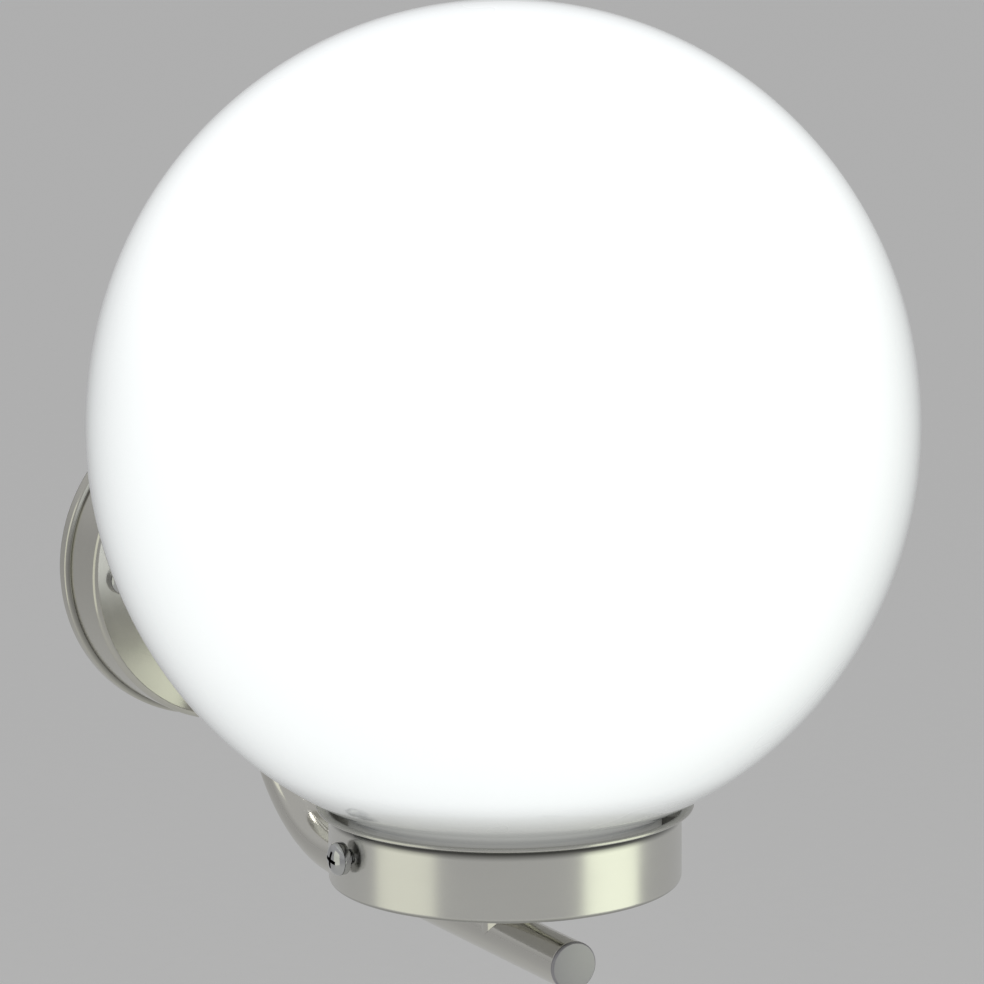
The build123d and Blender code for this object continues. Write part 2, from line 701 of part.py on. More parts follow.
# Rose cover: spun cup with a stepped rim at the wall
with BuildPart() as rose_cover:
    with BuildSketch(ROSE_SECTION):
        with BuildLine():
            FilletPolyline(
                (TUBE_RADIUS + WELD_GAP, -ROSE_DEPTH),
                (ROSE_RADIUS, -ROSE_DEPTH),
                (ROSE_RADIUS, -ROSE_RIM_DEPTH - ROSE_STEP),
                (ROSE_RIM_RADIUS, -ROSE_RIM_DEPTH),
                (ROSE_RIM_RADIUS, -ROSE_GASKET),
                radius=[ROSE_EDGE, ROSE_STEP_ROUND, ROSE_RIM_ROUND],
            )
            offset(amount=SHEET, side=Side.LEFT, closed=True)
        make_face()
    revolve(axis=WALL_AXIS)
    with BuildSketch(facing_wall(0, ROSE_FACE_INNER_Y, 0)):
        with Locations((-ROSE_SCREW_X, 0), (ROSE_SCREW_X, 0)):
            Circle(ROSE_SCREW_HOLE)
    extrude(amount=SHEET * 2, mode=Mode.SUBTRACT)
finish(rose_cover, "rose_cover")

# Foam ring between the rose and the wall
foam_radius = ROSE_RIM_RADIUS - ROSE_GASKET_INSET
foam_front_y = WELD_GAP - ROSE_GASKET
with BuildPart() as rose_gasket:
    add_ring(ROSE_SECTION, WALL_AXIS, foam_radius - ROSE_GASKET_WIDTH, foam_radius, foam_front_y, 0)
finish(rose_gasket, "rose_gasket")

# Wall strap: steel bar with a tab for the terminals
with BuildPart() as wall_strap:
    with BuildSketch(facing_wall(0, 0, 0)):
        SlotOverall(STRAP_LENGTH, STRAP_WIDTH)
        with Locations((TAB_CENTRE_X, TAB_TOP_Z / 2)):
            RectangleRounded(TAB_WIDTH, TAB_TOP_Z, TAB_ROUND)
        Circle(INLET_HOLE_RADIUS, mode=Mode.SUBTRACT)
        with Locations((-WALL_HOLE_SPACING / 2, 0), (WALL_HOLE_SPACING / 2, 0)):
            Circle(WALL_HOLE_RADIUS, mode=Mode.SUBTRACT)
        with Locations((EARTH_X, EARTH_Z)):
            Circle(M4_BORE, mode=Mode.SUBTRACT)
    extrude(amount=STRAP_THICKNESS)
finish(wall_strap, "wall_strap")

# Tapped pillars on the strap for the rose screws
pillar_length = -ROSE_FACE_INNER_Y - STRAP_THICKNESS - PILLAR_GAP
with BuildPart() as strap_pillars:
    with BuildSketch(facing_wall(0, -STRAP_THICKNESS, 0)):
        with Locations((-ROSE_SCREW_X, 0), (ROSE_SCREW_X, 0)):
            RegularPolygon(radius=PILLAR_RADIUS, side_count=6, major_radius=False)
            Circle(M4_BORE, mode=Mode.SUBTRACT)
    extrude(amount=pillar_length)
finish(strap_pillars, "strap_pillars")

# Rose screws, a pair with washers' clearance under their heads
with BuildPart() as rose_screws:
    for side in (-1, 1):
        add_screw(facing_wall(side * ROSE_SCREW_X, -ROSE_DEPTH - WELD_GAP, 0), ROSE_SCREW_LENGTH)
finish(rose_screws, "rose_screws")

# Rubber bush in the strap where the supply enters
with BuildPart() as inlet_grommet:
    with BuildSketch(ROSE_SECTION):
        with BuildLine():
            Polyline(
                (INLET_BORE_RADIUS, 0),
                (INLET_HOLE_RADIUS - WELD_GAP, 0),
                (INLET_HOLE_RADIUS - WELD_GAP, -STRAP_THICKNESS - WELD_GAP),
                (INLET_HOLE_RADIUS + GROMMET_LIP, -STRAP_THICKNESS - WELD_GAP),
                (INLET_HOLE_RADIUS + GROMMET_LIP / 2, -STRAP_THICKNESS - GROMMET_LIP),
                (INLET_BORE_RADIUS, -STRAP_THICKNESS - GROMMET_LIP),
                close=True,
            )
        make_face()
    revolve(axis=WALL_AXIS)
finish(inlet_grommet, "inlet_grommet")

# Collar that fixes the arm inside the rose
with BuildPart() as arm_collar:
    with BuildSketch(facing_wall(0, ROSE_FACE_INNER_Y + COLLAR_LENGTH, 0)):
        Circle(TUBE_RADIUS + COLLAR_WALL)
        Circle(TUBE_RADIUS + WELD_GAP, mode=Mode.SUBTRACT)
    extrude(amount=COLLAR_LENGTH - WELD_GAP)
finish(arm_collar, "arm_collar")

# Plastic bush in the tube's mouth, so that its edge doesn't cut the wires
with BuildPart() as tube_bush:
    with BuildSketch(ROSE_SECTION):
        with BuildLine():
            Polyline(
                (TUBE_BORE - BUSH_WALL, ARM_START_Y + BUSH_LIP),
                (TUBE_RADIUS, ARM_START_Y + BUSH_LIP),
                (TUBE_RADIUS, ARM_START_Y + WELD_GAP),
                (TUBE_BORE - WELD_GAP, ARM_START_Y + WELD_GAP),
                (TUBE_BORE - WELD_GAP, ARM_START_Y - BUSH_DEPTH),
                (TUBE_BORE - BUSH_WALL, ARM_START_Y - BUSH_DEPTH),
                close=True,
            )
        make_face()
    revolve(axis=WALL_AXIS)
finish(tube_bush, "tube_bush")

# Terminal block on the strap's tab: three poles
block_centre_z = BLOCK_BOTTOM_Z + BLOCK_HEIGHT / 2
block_back = facing_wall(0, -STRAP_THICKNESS - WELD_GAP, block_centre_z)
block_front = block_back.offset(BLOCK_DEPTH)
poles = [(-POLE_PITCH, 0), (0, 0), (POLE_PITCH, 0)]
screw_wells = [(x, z) for x, _ in poles for z in (-BLOCK_HEIGHT / 4, BLOCK_HEIGHT / 4)]
with BuildPart() as terminal_block:
    with BuildSketch(block_back):
        RectangleRounded(BLOCK_WIDTH, BLOCK_HEIGHT, POLE_ROUND)
    extrude(amount=BLOCK_DEPTH - POLE_RAISE)
    with BuildSketch(block_back):
        with Locations(*poles):
            RectangleRounded(POLE_WIDTH, BLOCK_HEIGHT - POLE_ROUND, POLE_ROUND)
    extrude(amount=BLOCK_DEPTH)
    with BuildSketch(block_front):
        with Locations(*screw_wells):
            Circle(WELL_RADIUS)
    extrude(amount=-WELL_DEPTH, mode=Mode.SUBTRACT)
    with BuildSketch(Plane.XY.offset(BLOCK_BOTTOM_Z)):
        with Locations(*[(x, BLOCK_WIRE_Y) for x, _ in poles]):
            Circle(WIRE_HOLE_RADIUS)
    extrude(amount=BLOCK_HEIGHT, mode=Mode.SUBTRACT)
finish(terminal_block, "terminal_block")

# Slotted clamp screws in the block's wells
clamp_seat = block_front.offset(WELD_GAP - WELL_DEPTH)
with BuildPart() as terminal_screws:
    with BuildSketch(clamp_seat):
        with Locations(*screw_wells):
            Circle(CLAMP_RADIUS)
    extrude(amount=CLAMP_LENGTH)
    with BuildSketch(clamp_seat.offset(CLAMP_LENGTH)):
        with Locations(*screw_wells):
            Rectangle(WELL_RADIUS * 2, SCREW_SLOT)
    extrude(amount=-SLOT_DEPTH, mode=Mode.SUBTRACT)
finish(terminal_screws, "terminal_screws")

# Earth screw and the ring lug that it clamps to the strap
with BuildPart() as earth_lug:
    with BuildSketch(facing_wall(EARTH_X, -STRAP_THICKNESS - WELD_GAP, EARTH_Z)):
        Circle(LUG_RADIUS)
        with Locations((0, -LUG_TAIL_LENGTH)):
            Rectangle(LUG_TAIL_WIDTH, LUG_TAIL_LENGTH)
        Circle(M4_BORE, mode=Mode.SUBTRACT)
    extrude(amount=LUG_THICKNESS)
finish(earth_lug, "earth_lug")

earth_seat_y = -STRAP_THICKNESS - LUG_THICKNESS - 2 * WELD_GAP
with BuildPart() as earth_screw:
    add_screw(facing_wall(EARTH_X, earth_seat_y, EARTH_Z), -earth_seat_y, EARTH_TIP_CHAMFER)
finish(earth_screw, "earth_screw")


def add_wire(points, radii):
    """Round wire along straight runs joined by tangent arcs."""
    with BuildLine() as route:
        FilletPolyline(*points, radius=radii)
    with BuildSketch(Plane(origin=route.line @ 0, z_dir=route.line % 0)) as wire_section:
        Circle(WIRE_RADIUS)
    sweep(wire_section.sketch, path=route.line)
    length = route.wire().length
    volume = math.pi * WIRE_RADIUS**2 * length
    print(f"wire of {length:.1f} mm, arcs {radii}, section times length {volume:.1f} mm3")


# Live and neutral wires: terminal block, arm, post, nipple, lampholder
for side, pole, name in ((-1, -POLE_PITCH, "live_wire"), (1, 0, "neutral_wire")):
    with BuildPart() as wire:
        add_wire(
            [
                (pole, BLOCK_WIRE_Y, BLOCK_BOTTOM_Z + WIRE_IN_POLE),
                (pole, BLOCK_WIRE_Y, BLOCK_BOTTOM_Z - WIRE_BELOW_BLOCK),
                (side * WIRE_OFFSET, BLOCK_WIRE_Y + WIRE_SET_BACK, 0),
                (side * WIRE_OFFSET, ARM_DROP_Y, 0),
                (side * WIRE_OFFSET, ARM_DROP_Y, BAR_Z),
                (side * WIRE_OFFSET, -REACH, BAR_Z),
                (side * WIRE_OFFSET, -REACH, NIPPLE_TOP_Z + WIRE_ABOVE_NIPPLE),
                (side * TERMINAL_X, -REACH, NIPPLE_TOP_Z + WIRE_SPREAD_Z),
                (side * TERMINAL_X, -REACH, HOLDER_JOINT_Z + WIRE_IN_CARRIER),
            ],
            [WIRE_TURN, WIRE_TURN, UPPER_BEND, LOWER_BEND, WIRE_LOW_BEND, WIRE_TURN, WIRE_TURN],
        )
    finish(wire, name)

# Earth wire: right-hand pole to the ring lug
lug_wire_y = earth_seat_y - WIRE_RADIUS - WELD_GAP
with BuildPart() as earth_wire:
    add_wire(
        [
            (POLE_PITCH, BLOCK_WIRE_Y, BLOCK_BOTTOM_Z + WIRE_IN_POLE),
            (POLE_PITCH, BLOCK_WIRE_Y, BLOCK_BOTTOM_Z - EARTH_WIRE_DROP),
            (EARTH_X, lug_wire_y, BLOCK_BOTTOM_Z - EARTH_WIRE_LOW),
            (EARTH_X, lug_wire_y, EARTH_Z - EARTH_WIRE_END),
        ],
        [EARTH_WIRE_TURN, EARTH_WIRE_TURN],
    )
finish(earth_wire, "earth_wire")
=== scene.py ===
"""Looks of the outdoor wall light: an opal globe on a steel cup, held out by a bent tube."""

from __future__ import annotations

import logging
import math
from dataclasses import dataclass
from enum import Enum

import bmesh
import bpy
from mathutils import Matrix, Vector


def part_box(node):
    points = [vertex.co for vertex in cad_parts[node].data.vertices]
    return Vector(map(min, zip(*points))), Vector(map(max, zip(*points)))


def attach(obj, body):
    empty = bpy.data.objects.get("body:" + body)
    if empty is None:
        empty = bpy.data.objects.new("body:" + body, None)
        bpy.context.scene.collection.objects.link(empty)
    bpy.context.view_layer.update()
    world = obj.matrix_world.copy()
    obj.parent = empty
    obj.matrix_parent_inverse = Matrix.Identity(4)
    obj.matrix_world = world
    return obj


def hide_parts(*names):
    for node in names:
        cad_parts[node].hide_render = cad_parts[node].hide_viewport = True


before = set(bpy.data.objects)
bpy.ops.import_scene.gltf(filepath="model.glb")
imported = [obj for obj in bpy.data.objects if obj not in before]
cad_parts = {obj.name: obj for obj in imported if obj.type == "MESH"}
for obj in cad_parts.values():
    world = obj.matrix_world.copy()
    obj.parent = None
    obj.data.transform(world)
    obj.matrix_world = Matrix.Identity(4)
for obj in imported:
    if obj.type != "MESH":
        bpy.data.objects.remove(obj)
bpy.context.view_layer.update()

log = logging.getLogger("wall_light")
Colour = tuple[float, float, float, float]
MM = 0.001
MICRON = 1e-6
SHARP_ANGLE = math.radians(32)
# Vertices nearer than this become one.
WELD = 0.2 * MICRON
# Gap that the CAD model keeps between pieces that touch.
FIT = 0.03 * MM
# Radius of a ring that the welding turns into the closed middle of an end.
TIP = 0.01 * MICRON
# A corner that is nearer to straight than this, in radians, isn't rounded.
STRAIGHT = 1e-4
# The globe's axis stands this far from the wall, and the arm's bar lies at this height.
REACH = -sum(corner.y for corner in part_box("gallery")) / 2
BAR_Z = sum(corner.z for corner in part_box("arm_end_cap")) / 2


# Shader graphs


def socket_name(key: str) -> str:
    """Name of the socket that a Python keyword stands for."""
    return key.replace("_", " ").title().replace("Ior", "IOR")


class Value:
    """An output socket of a shader graph that takes part in Python sums."""

    def __init__(self, graph: Graph, socket: bpy.types.NodeSocket) -> None:
        """Keep the graph, which makes the Math nodes, and the socket."""
        self.graph = graph
        self.socket = socket

    def _math(self, operation: str, *terms: Value | float) -> Value:
        """Add one Math node and return its result."""
        settings = {"operation": operation}
        return self.graph.node("ShaderNodeMath", settings, dict(enumerate(terms)))

    def __add__(self, other: Value | float) -> Value:
        """Sum of two values."""
        return self._math("ADD", self, other)

    __radd__ = __add__

    def __sub__(self, other: Value | float) -> Value:
        """Difference of two values."""
        return self._math("SUBTRACT", self, other)

    def __rsub__(self, other: float) -> Value:
        """A number minus this value."""
        return self._math("SUBTRACT", other, self)

    def __mul__(self, other: Value | float) -> Value:
        """Product of two values."""
        return self._math("MULTIPLY", self, other)

    __rmul__ = __mul__

    def __truediv__(self, other: float) -> Value:
        """This value divided by a number."""
        return self._math("DIVIDE", self, other)

    def __pow__(self, other: float) -> Value:
        """Power of a value."""
        return self._math("POWER", self, other)

    def function(self, operation: str, *others: Value | float) -> Value:
        """Any other operation of the Math node, such as FRACT."""
        return self._math(operation, self, *others)

    def band(self, low: float, high: float) -> Value:
        """Smooth step over a range of this value.

        Args:
            low: Where the step is still 0.
            high: Where it has reached 1.

        Returns:
            The step.
        """
        return self.graph.node(
            "ShaderNodeMapRange",
            {"interpolation_type": "SMOOTHSTEP"},
            {"Value": self, "From Min": low, "From Max": high},
        )


class Graph:
    """The node tree of one material, built by plain calls."""

    def __init__(self, name: str) -> None:
        """Start an empty material.

        Args:
            name: Name of the material.
        """
        self.material = bpy.data.materials.new(name)
        self.material.use_nodes = True
        self.tree = self.material.node_tree
        self.tree.nodes.clear()
        self.output = self.tree.nodes.new("ShaderNodeOutputMaterial")
        self.coordinates = self.tree.nodes.new("ShaderNodeTexCoord")

    def node(
        self,
        kind: str,
        settings: dict[str, object] | None = None,
        inputs: dict[str | int, object] | None = None,
        output: str | int = 0,
    ) -> Value:
        """Add one node.

        Args:
            kind: The node's type.
            settings: Its own settings, set before any socket.
            inputs: Values or links, by the socket's name or place.
            output: The output that is returned.

        Returns:
            The chosen output as a value.
        """
        made = self.tree.nodes.new(kind)
        for key, setting in (settings or {}).items():
            setattr(made, key, setting)
        for key, item in (inputs or {}).items():
            if isinstance(item, Value):
                self.tree.links.new(item.socket, made.inputs[key])
            else:
                made.inputs[key].default_value = item
        return Value(self, made.outputs[output])

    def place(self) -> Value:
        """Place on the piece, in metres of the light's own frame."""
        return Value(self, self.coordinates.outputs["Object"])

    def uv(self) -> Value:
        """The piece's own map: along and around, in metres."""
        return Value(self, self.coordinates.outputs["UV"])

    def moved(self, source: Value, centre: Vector) -> Value:
        """Place counted from a centre."""
        terms = {0: source, 1: tuple(centre)}
        return self.node("ShaderNodeVectorMath", {"operation": "SUBTRACT"}, terms)

    def split(self, source: Value) -> tuple[Value, ...]:
        """The three parts of a vector."""
        parts = self.node("ShaderNodeSeparateXYZ", inputs={0: source}).socket.node
        return tuple(Value(self, output) for output in parts.outputs)

    def joined(self, x: Value | float, y: Value | float, z: Value | float) -> Value:
        """A vector from its three parts."""
        return self.node("ShaderNodeCombineXYZ", inputs={0: x, 1: y, 2: z})

    def noise(self, source: Value, scale: float, detail: float, roughness: float = 0.5) -> Value:
        """Cloudy noise from 0 to 1.

        Args:
            source: Coordinates that it lies on.
            scale: Cells per metre.
            detail: Finer layers that are added.
            roughness: How strong each finer layer is.

        Returns:
            The noise.
        """
        settings = {"Vector": source, "Scale": scale, "Detail": detail, "Roughness": roughness}
        return self.node("ShaderNodeTexNoise", inputs=settings)

    def cells(self, source: Value, scale: float, output: str = "Distance") -> Value:
        """Cell pattern with that many cells per metre."""
        settings = {"Vector": source, "Scale": scale}
        return self.node("ShaderNodeTexVoronoi", inputs=settings, output=output)

    def mix(self, factor: Value | float, first: Colour | Value, second: Colour | Value) -> Value:
        """Colour between two colours."""
        inputs = {0: factor, 6: first, 7: second}
        return self.node("ShaderNodeMix", {"data_type": "RGBA"}, inputs, output=2)

    def bump(self, height: Value, depth: float) -> Value:
        """Normal bent by a height that is depth metres from 0 to 1."""
        settings = {"Height": height, "Distance": depth, "Strength": 1.0}
        return self.node("ShaderNodeBump", inputs=settings)

    def shade(self, **inputs: object) -> bpy.types.Material:
        """Add the surface shader.

        Args:
            **inputs: Values or links of its sockets, named in lower case.

        Returns:
            The finished material.
        """
        named = {socket_name(key): item for key, item in inputs.items()}
        shader = self.node("ShaderNodeBsdfPrincipled", inputs=named)
        self.tree.links.new(shader.socket, self.output.inputs["Surface"])
        return self.material


def rgb(red: float, green: float, blue: float) -> Colour:
    """A linear colour with full alpha."""
    return (red, green, blue, 1.0)


def shaded(colour: Colour, share: float) -> Colour:
    """The colour made lighter or darker by a share."""
    return rgb(*(min(1.0, part * share) for part in colour[:3]))


# Finishes


class Grain(Enum):
    """How the marks of the last polishing run."""

    AROUND_GLOBE = "around the upright axis of the globe"
    AROUND_ROSE = "around the axis of the wall rose"
    ALONG = "along the piece's own map"
    PLAIN = "crosswise, without a direction"


@dataclass(frozen=True)
class Finish:
    """Name and main colour, which every finish has."""

    name: str
    colour: Colour


@dataclass(frozen=True)
class PaintedShadeLine:
    """Stretch of the piece's axis, from low to high, painted with that share of the steel's colour
    as shade.
    """

    low: float
    high: float
    share: float


@dataclass(frozen=True)
class PolishedSteel(Finish):
    """Polished metal with fine polishing marks, soft smears and handling marks, and where given
    painted shade in lines and in a recess.
    """

    roughness: float
    grain: Grain
    marks: float = 0.03
    depth: float = 0.15 * MICRON
    # Painted shade: darker bands along the axis, where grooves and edges stand in shade.
    painted_shade_lines: tuple[PaintedShadeLine, ...] = ()
    # Share of the colour in a cross recess: painted shade, where light hardly gets in.
    recess: float = 1.0
    fine_scale: float = 4200.0
    coarse_scale: float = 900.0
    smear_scale: float = 38.0
    handled_scale: float = 75.0
    tint: float = 0.05
    stretch: float = 0.04
    wrap: float = 0.8 * MM

    def _grain_place(self, graph: Graph) -> Value:
        """Coordinates that are stretched along the polishing marks.

        Args:
            graph: The material's graph.

        Returns:
            The coordinates.
        """
        if self.grain is Grain.ALONG:
            along, around, _ = graph.split(graph.uv())
            return graph.joined(along * self.stretch, around, 0.0)
        if self.grain is Grain.PLAIN:
            return graph.place()
        upright = self.grain is Grain.AROUND_GLOBE
        centre = Vector((0, -REACH, 0)) if upright else Vector()
        x, y, z = graph.split(graph.moved(graph.place(), centre))
        first, second, height = (x, y, z) if upright else (x, z, y)
        radius = (first * first + second * second) ** 0.5
        angle = second.function("ARCTAN2", first)
        return graph.joined(radius, height, angle * self.wrap)

    def _with_painted_shade(self, graph: Graph, colour: Value) -> Value:
        """The colour with its painted shade lines and its recess painted darker as shade.

        Args:
            graph: The material's graph.
            colour: The plain steel's colour.

        Returns:
            The changed colour.
        """
        _, level, upright = graph.split(graph.place())
        along = level if self.grain is Grain.AROUND_ROSE else upright
        # Each line is painted shade: a darker band along the axis.
        for dull_and_shade in self.painted_shade_lines:
            soft = (dull_and_shade.high - dull_and_shade.low) / 3
            starts = along.band(dull_and_shade.low, dull_and_shade.low + soft * 2)
            ends = along.band(dull_and_shade.high - soft, dull_and_shade.high)
            colour = graph.mix(starts * (1 - ends), colour, shaded(self.colour, dull_and_shade.share))
        # The recess is painted darker, as shade.
        if self.recess < 1.0:
            painted_recess_shade = graph.node("ShaderNodeAttribute", {"attribute_name": "recess"}, output="Fac")
            colour = graph.mix(painted_recess_shade, colour, shaded(self.colour, self.recess))
        return colour

    def build(self) -> bpy.types.Material:
        """Make the material.

        Returns:
            The finished material.
        """
        graph = Graph(self.name)
        run = self._grain_place(graph)
        fine = graph.noise(run, self.fine_scale, 2.0, 0.6)
        coarse = graph.noise(run, self.coarse_scale, 3.0, 0.55)
        smear = graph.noise(graph.place(), self.smear_scale, 2.0)
        handled = graph.noise(graph.place(), self.handled_scale, 3.0).band(0.35, 0.8)
        tone = fine * 0.3 + coarse * 0.3 + smear * 0.4
        darkest, lightest = shaded(self.colour, 1 - self.tint), shaded(self.colour, 1 + self.tint)
        base = self.roughness - self.marks * 1.5
        return graph.shade(
            base_color=self._with_painted_shade(graph, graph.mix(tone, darkest, lightest)),
            metallic=1.0,
            roughness=tone * (self.marks * 2) + handled * self.marks + base,
            normal=graph.bump(fine * 0.4 + coarse * 0.6, self.depth),
        )


@dataclass(frozen=True)
class ZincPlate(Finish):
    """Bright zinc or tin over metal, with its faint crystals and dull patches."""

    roughness: float = 0.38
    crystal_scale: float = 420.0
    cloud_scale: float = 70.0
    grit_scale: float = 5200.0
    grit_depth: float = 3 * MICRON
    dull_colour: Colour = rgb(0.42, 0.42, 0.4)

    def build(self) -> bpy.types.Material:
        """Make the material.

        Returns:
            The finished material.
        """
        graph = Graph(self.name)
        place = graph.place()
        crystal, _, _ = graph.split(graph.cells(place, self.crystal_scale, "Color"))
        cloud = graph.noise(place, self.cloud_scale, 5.0, 0.6)
        grit = graph.noise(place, self.grit_scale, 2.0)
        dull_and_shade = cloud.band(0.45, 0.7)
        colour = graph.mix(crystal * 0.5 + cloud * 0.5, shaded(self.colour, 0.82), self.colour)
        return graph.shade(
            base_color=graph.mix(dull_and_shade * 0.35, colour, self.dull_colour),
            metallic=1.0,
            roughness=crystal * 0.1 + dull_and_shade * 0.12 + (self.roughness - 0.1),
            normal=graph.bump(grit, self.grit_depth),
        )


@dataclass(frozen=True)
class OpalGlass(Finish):
    """White blown glass, glowing from within; colour and glow are painted darker towards the neck
    and at its edge, as shade.
    """

    painted_neck_shade: Colour
    glow: Colour
    painted_neck_glow: Colour
    strength: float
    painted_edge_shade: Colour = rgb(0.1, 0.11, 0.12)
    edge_ior: float = 1.45
    full_from: float = -15.5 * MM
    dim_at: float = -29.5 * MM
    neck_at: float = -36.0 * MM
    shaded_to: float = 70.0 * MM
    clear_from: float = 125.0 * MM
    clear_share: float = 0.8
    cloud_scale: float = 14.0
    ripple_scale: float = 26.0
    ripple_depth: float = 20 * MICRON

    def build(self) -> bpy.types.Material:
        """Make the material.

        Returns:
            The finished material.
        """
        graph = Graph(self.name)
        _, _, height = graph.split(graph.place())
        cloud = graph.noise(graph.place(), self.cloud_scale, 3.0)
        ripple = graph.noise(graph.place(), self.ripple_scale, 2.0, 0.4)
        # Painted shade: colour and glow darken from full_from down to the neck.
        lit = height.band(self.dim_at, self.full_from) * 0.8
        lit = lit + height.band(self.neck_at, self.dim_at) * 0.2
        opal = graph.mix(cloud, shaded(self.colour, 0.985), self.colour)
        # Painted shade at the edge as seen: a Fresnel share darkens colour and glow, less towards
        # the top, which is painted lighter.
        crown = height.band(self.shaded_to, self.clear_from)
        fresnel = graph.node("ShaderNodeFresnel", inputs={"IOR": self.edge_ior})
        painted_edge_share = fresnel * (1 - crown * self.clear_share)
        body = graph.mix(lit, self.painted_neck_shade, opal)
        glow = graph.mix(lit, self.painted_neck_glow, self.glow)
        return graph.shade(
            base_color=graph.mix(painted_edge_share, body, self.painted_edge_shade),
            roughness=cloud * 0.06 + 0.25,
            specular_ior_level=0.2,
            coat_weight=1.0,
            coat_ior=1.6,
            coat_roughness=0.04,
            emission_color=graph.mix(painted_edge_share, glow, self.painted_edge_shade),
            emission_strength=self.strength,
            normal=graph.bump(ripple, self.ripple_depth),
        )


@dataclass(frozen=True)
class Moulded(Finish):
    """Moulded plastic, rubber or ceramic with its own mottling and surface grain."""

    roughness: float
    grain_scale: float = 2400.0
    grain_depth: float = 6 * MICRON
    mottle: float = 0.1
    gloss_coat: float = 0.0
    glow: float = 0.0
    cloud_scale: float = 90.0
    flow_scale: float = 35.0

    def build(self) -> bpy.types.Material:
        """Make the material.

        Returns:
            The finished material.
        """
        graph = Graph(self.name)
        cloud = graph.noise(graph.place(), self.cloud_scale, 4.0, 0.6)
        grain = graph.noise(graph.place(), self.grain_scale, 3.0, 0.6)
        flow = graph.noise(graph.place(), self.flow_scale, 2.0)
        dark, light = shaded(self.colour, 1 - self.mottle), shaded(self.colour, 1 + self.mottle)
        return graph.shade(
            base_color=graph.mix(cloud * 0.6 + grain * 0.4, dark, light),
            roughness=grain * 0.08 + flow * 0.1 + (self.roughness - 0.09),
            coat_weight=self.gloss_coat,
            coat_roughness=0.08,
            emission_color=self.colour,
            emission_strength=self.glow,
            normal=graph.bump(grain, self.grain_depth),
        )


@dataclass(frozen=True)
class Foam(Finish):
    """Closed-cell foam with its burst bubbles."""

    bubble_scale: float = 1500.0
    bubble_depth: float = 120 * MICRON

    def build(self) -> bpy.types.Material:
        """Make the material.

        Returns:
            The finished material.
        """
        graph = Graph(self.name)
        bubbles = graph.cells(graph.place(), self.bubble_scale)
        return graph.shade(
            base_color=graph.mix(bubbles, shaded(self.colour, 0.5), shaded(self.colour, 1.5)),
            roughness=bubbles * 0.1 + 0.82,
            normal=graph.bump(bubbles, self.bubble_depth),
        )


@dataclass(frozen=True)
class WireSleeve(Finish):
    """Insulation of a wire, with a second colour in two stripes that turn slowly round it."""

    stripe: Colour
    stripe_share: float
    stripe_edge: float = 0.01
    stripe_period: float = math.pi * MM
    twist: float = 40.0
    wave_scale: float = 700.0
    wave_depth: float = 15 * MICRON
    dust: Colour = rgb(0.2, 0.2, 0.2)

    def build(self) -> bpy.types.Material:
        """Make the material.

        Returns:
            The finished material.
        """
        graph = Graph(self.name)
        along, around, _ = graph.split(graph.uv())
        turn = (around / self.stripe_period + along * self.twist).function("FRACT")
        low, high = 0.5 - self.stripe_share / 2, 0.5 + self.stripe_share / 2
        edge = self.stripe_edge
        striped = turn.band(low - edge, low + edge) * (1.0 - turn.band(high - edge, high + edge))
        wave = graph.noise(graph.place(), self.wave_scale, 3.0)
        base = graph.mix(striped, self.colour, self.stripe)
        return graph.shade(
            base_color=graph.mix(wave * 0.25, base, self.dust),
            roughness=wave * 0.15 + 0.35,
            normal=graph.bump(wave, self.wave_depth),
        )


@dataclass(frozen=True)
class DiodeBoard(Finish):
    """White board whose raised diodes are yellow with phosphor."""

    board_top: float
    phosphor: Colour = rgb(0.85, 0.6, 0.08)
    dark_patch: Colour = rgb(0.75, 0.75, 0.72)
    patch_scale: float = 300.0
    patch_depth: float = 10 * MICRON

    def build(self) -> bpy.types.Material:
        """Make the material.

        Returns:
            The finished material.
        """
        graph = Graph(self.name)
        _, _, height = graph.split(graph.place())
        diode = height.band(self.board_top, self.board_top + 0.1 * MM)
        cloud = graph.noise(graph.place(), self.patch_scale, 3.0)
        board = graph.mix(cloud, self.dark_patch, self.colour)
        return graph.shade(
            base_color=graph.mix(diode, board, self.phosphor),
            roughness=cloud * 0.2 + 0.35,
            normal=graph.bump(cloud, self.patch_depth),
        )


# Mesh building


class Axis(Enum):
    """Line that a turned piece is round about."""

    GLOBE = "upright, through the middle of the globe"
    ROSE = "level, out of the middle of the rose"
    LOCAL = "the local Z, through the origin"

    def point(self, across: float, deep: float, height: float) -> Vector:
        """Point beside the axis.

        Args:
            across: How far to the right of the axis it lies.
            deep: How far behind it, or above it for the rose.
            height: Place along the axis.

        Returns:
            The point.
        """
        if self is Axis.ROSE:
            return Vector((across, height, deep))
        return Vector((across, deep - REACH if self is Axis.GLOBE else deep, height))


def linked(name: str, data: bpy.types.ID) -> bpy.types.Object:
    """Object of the scene, at its origin, that holds the data.

    Args:
        name: Name of the object.
        data: Mesh, light or camera.

    Returns:
        The object.
    """
    made = bpy.data.objects.new(name, data)
    bpy.context.scene.collection.objects.link(made)
    return made


def smoothed(mesh: bpy.types.Mesh) -> None:
    """Shade a mesh smooth between its sharp edges."""
    mesh.shade_smooth()
    mesh.set_sharp_from_angle(angle=SHARP_ANGLE)


def mesh_of(name: str, shape: bmesh.types.BMesh) -> bpy.types.Mesh:
    """Turn a bmesh into a mesh, and free it.

    Args:
        name: Name of the mesh.
        shape: The bmesh.

    Returns:
        The mesh.
    """
    mesh = bpy.data.meshes.new(name)
    shape.to_mesh(mesh)
    shape.free()
    return mesh


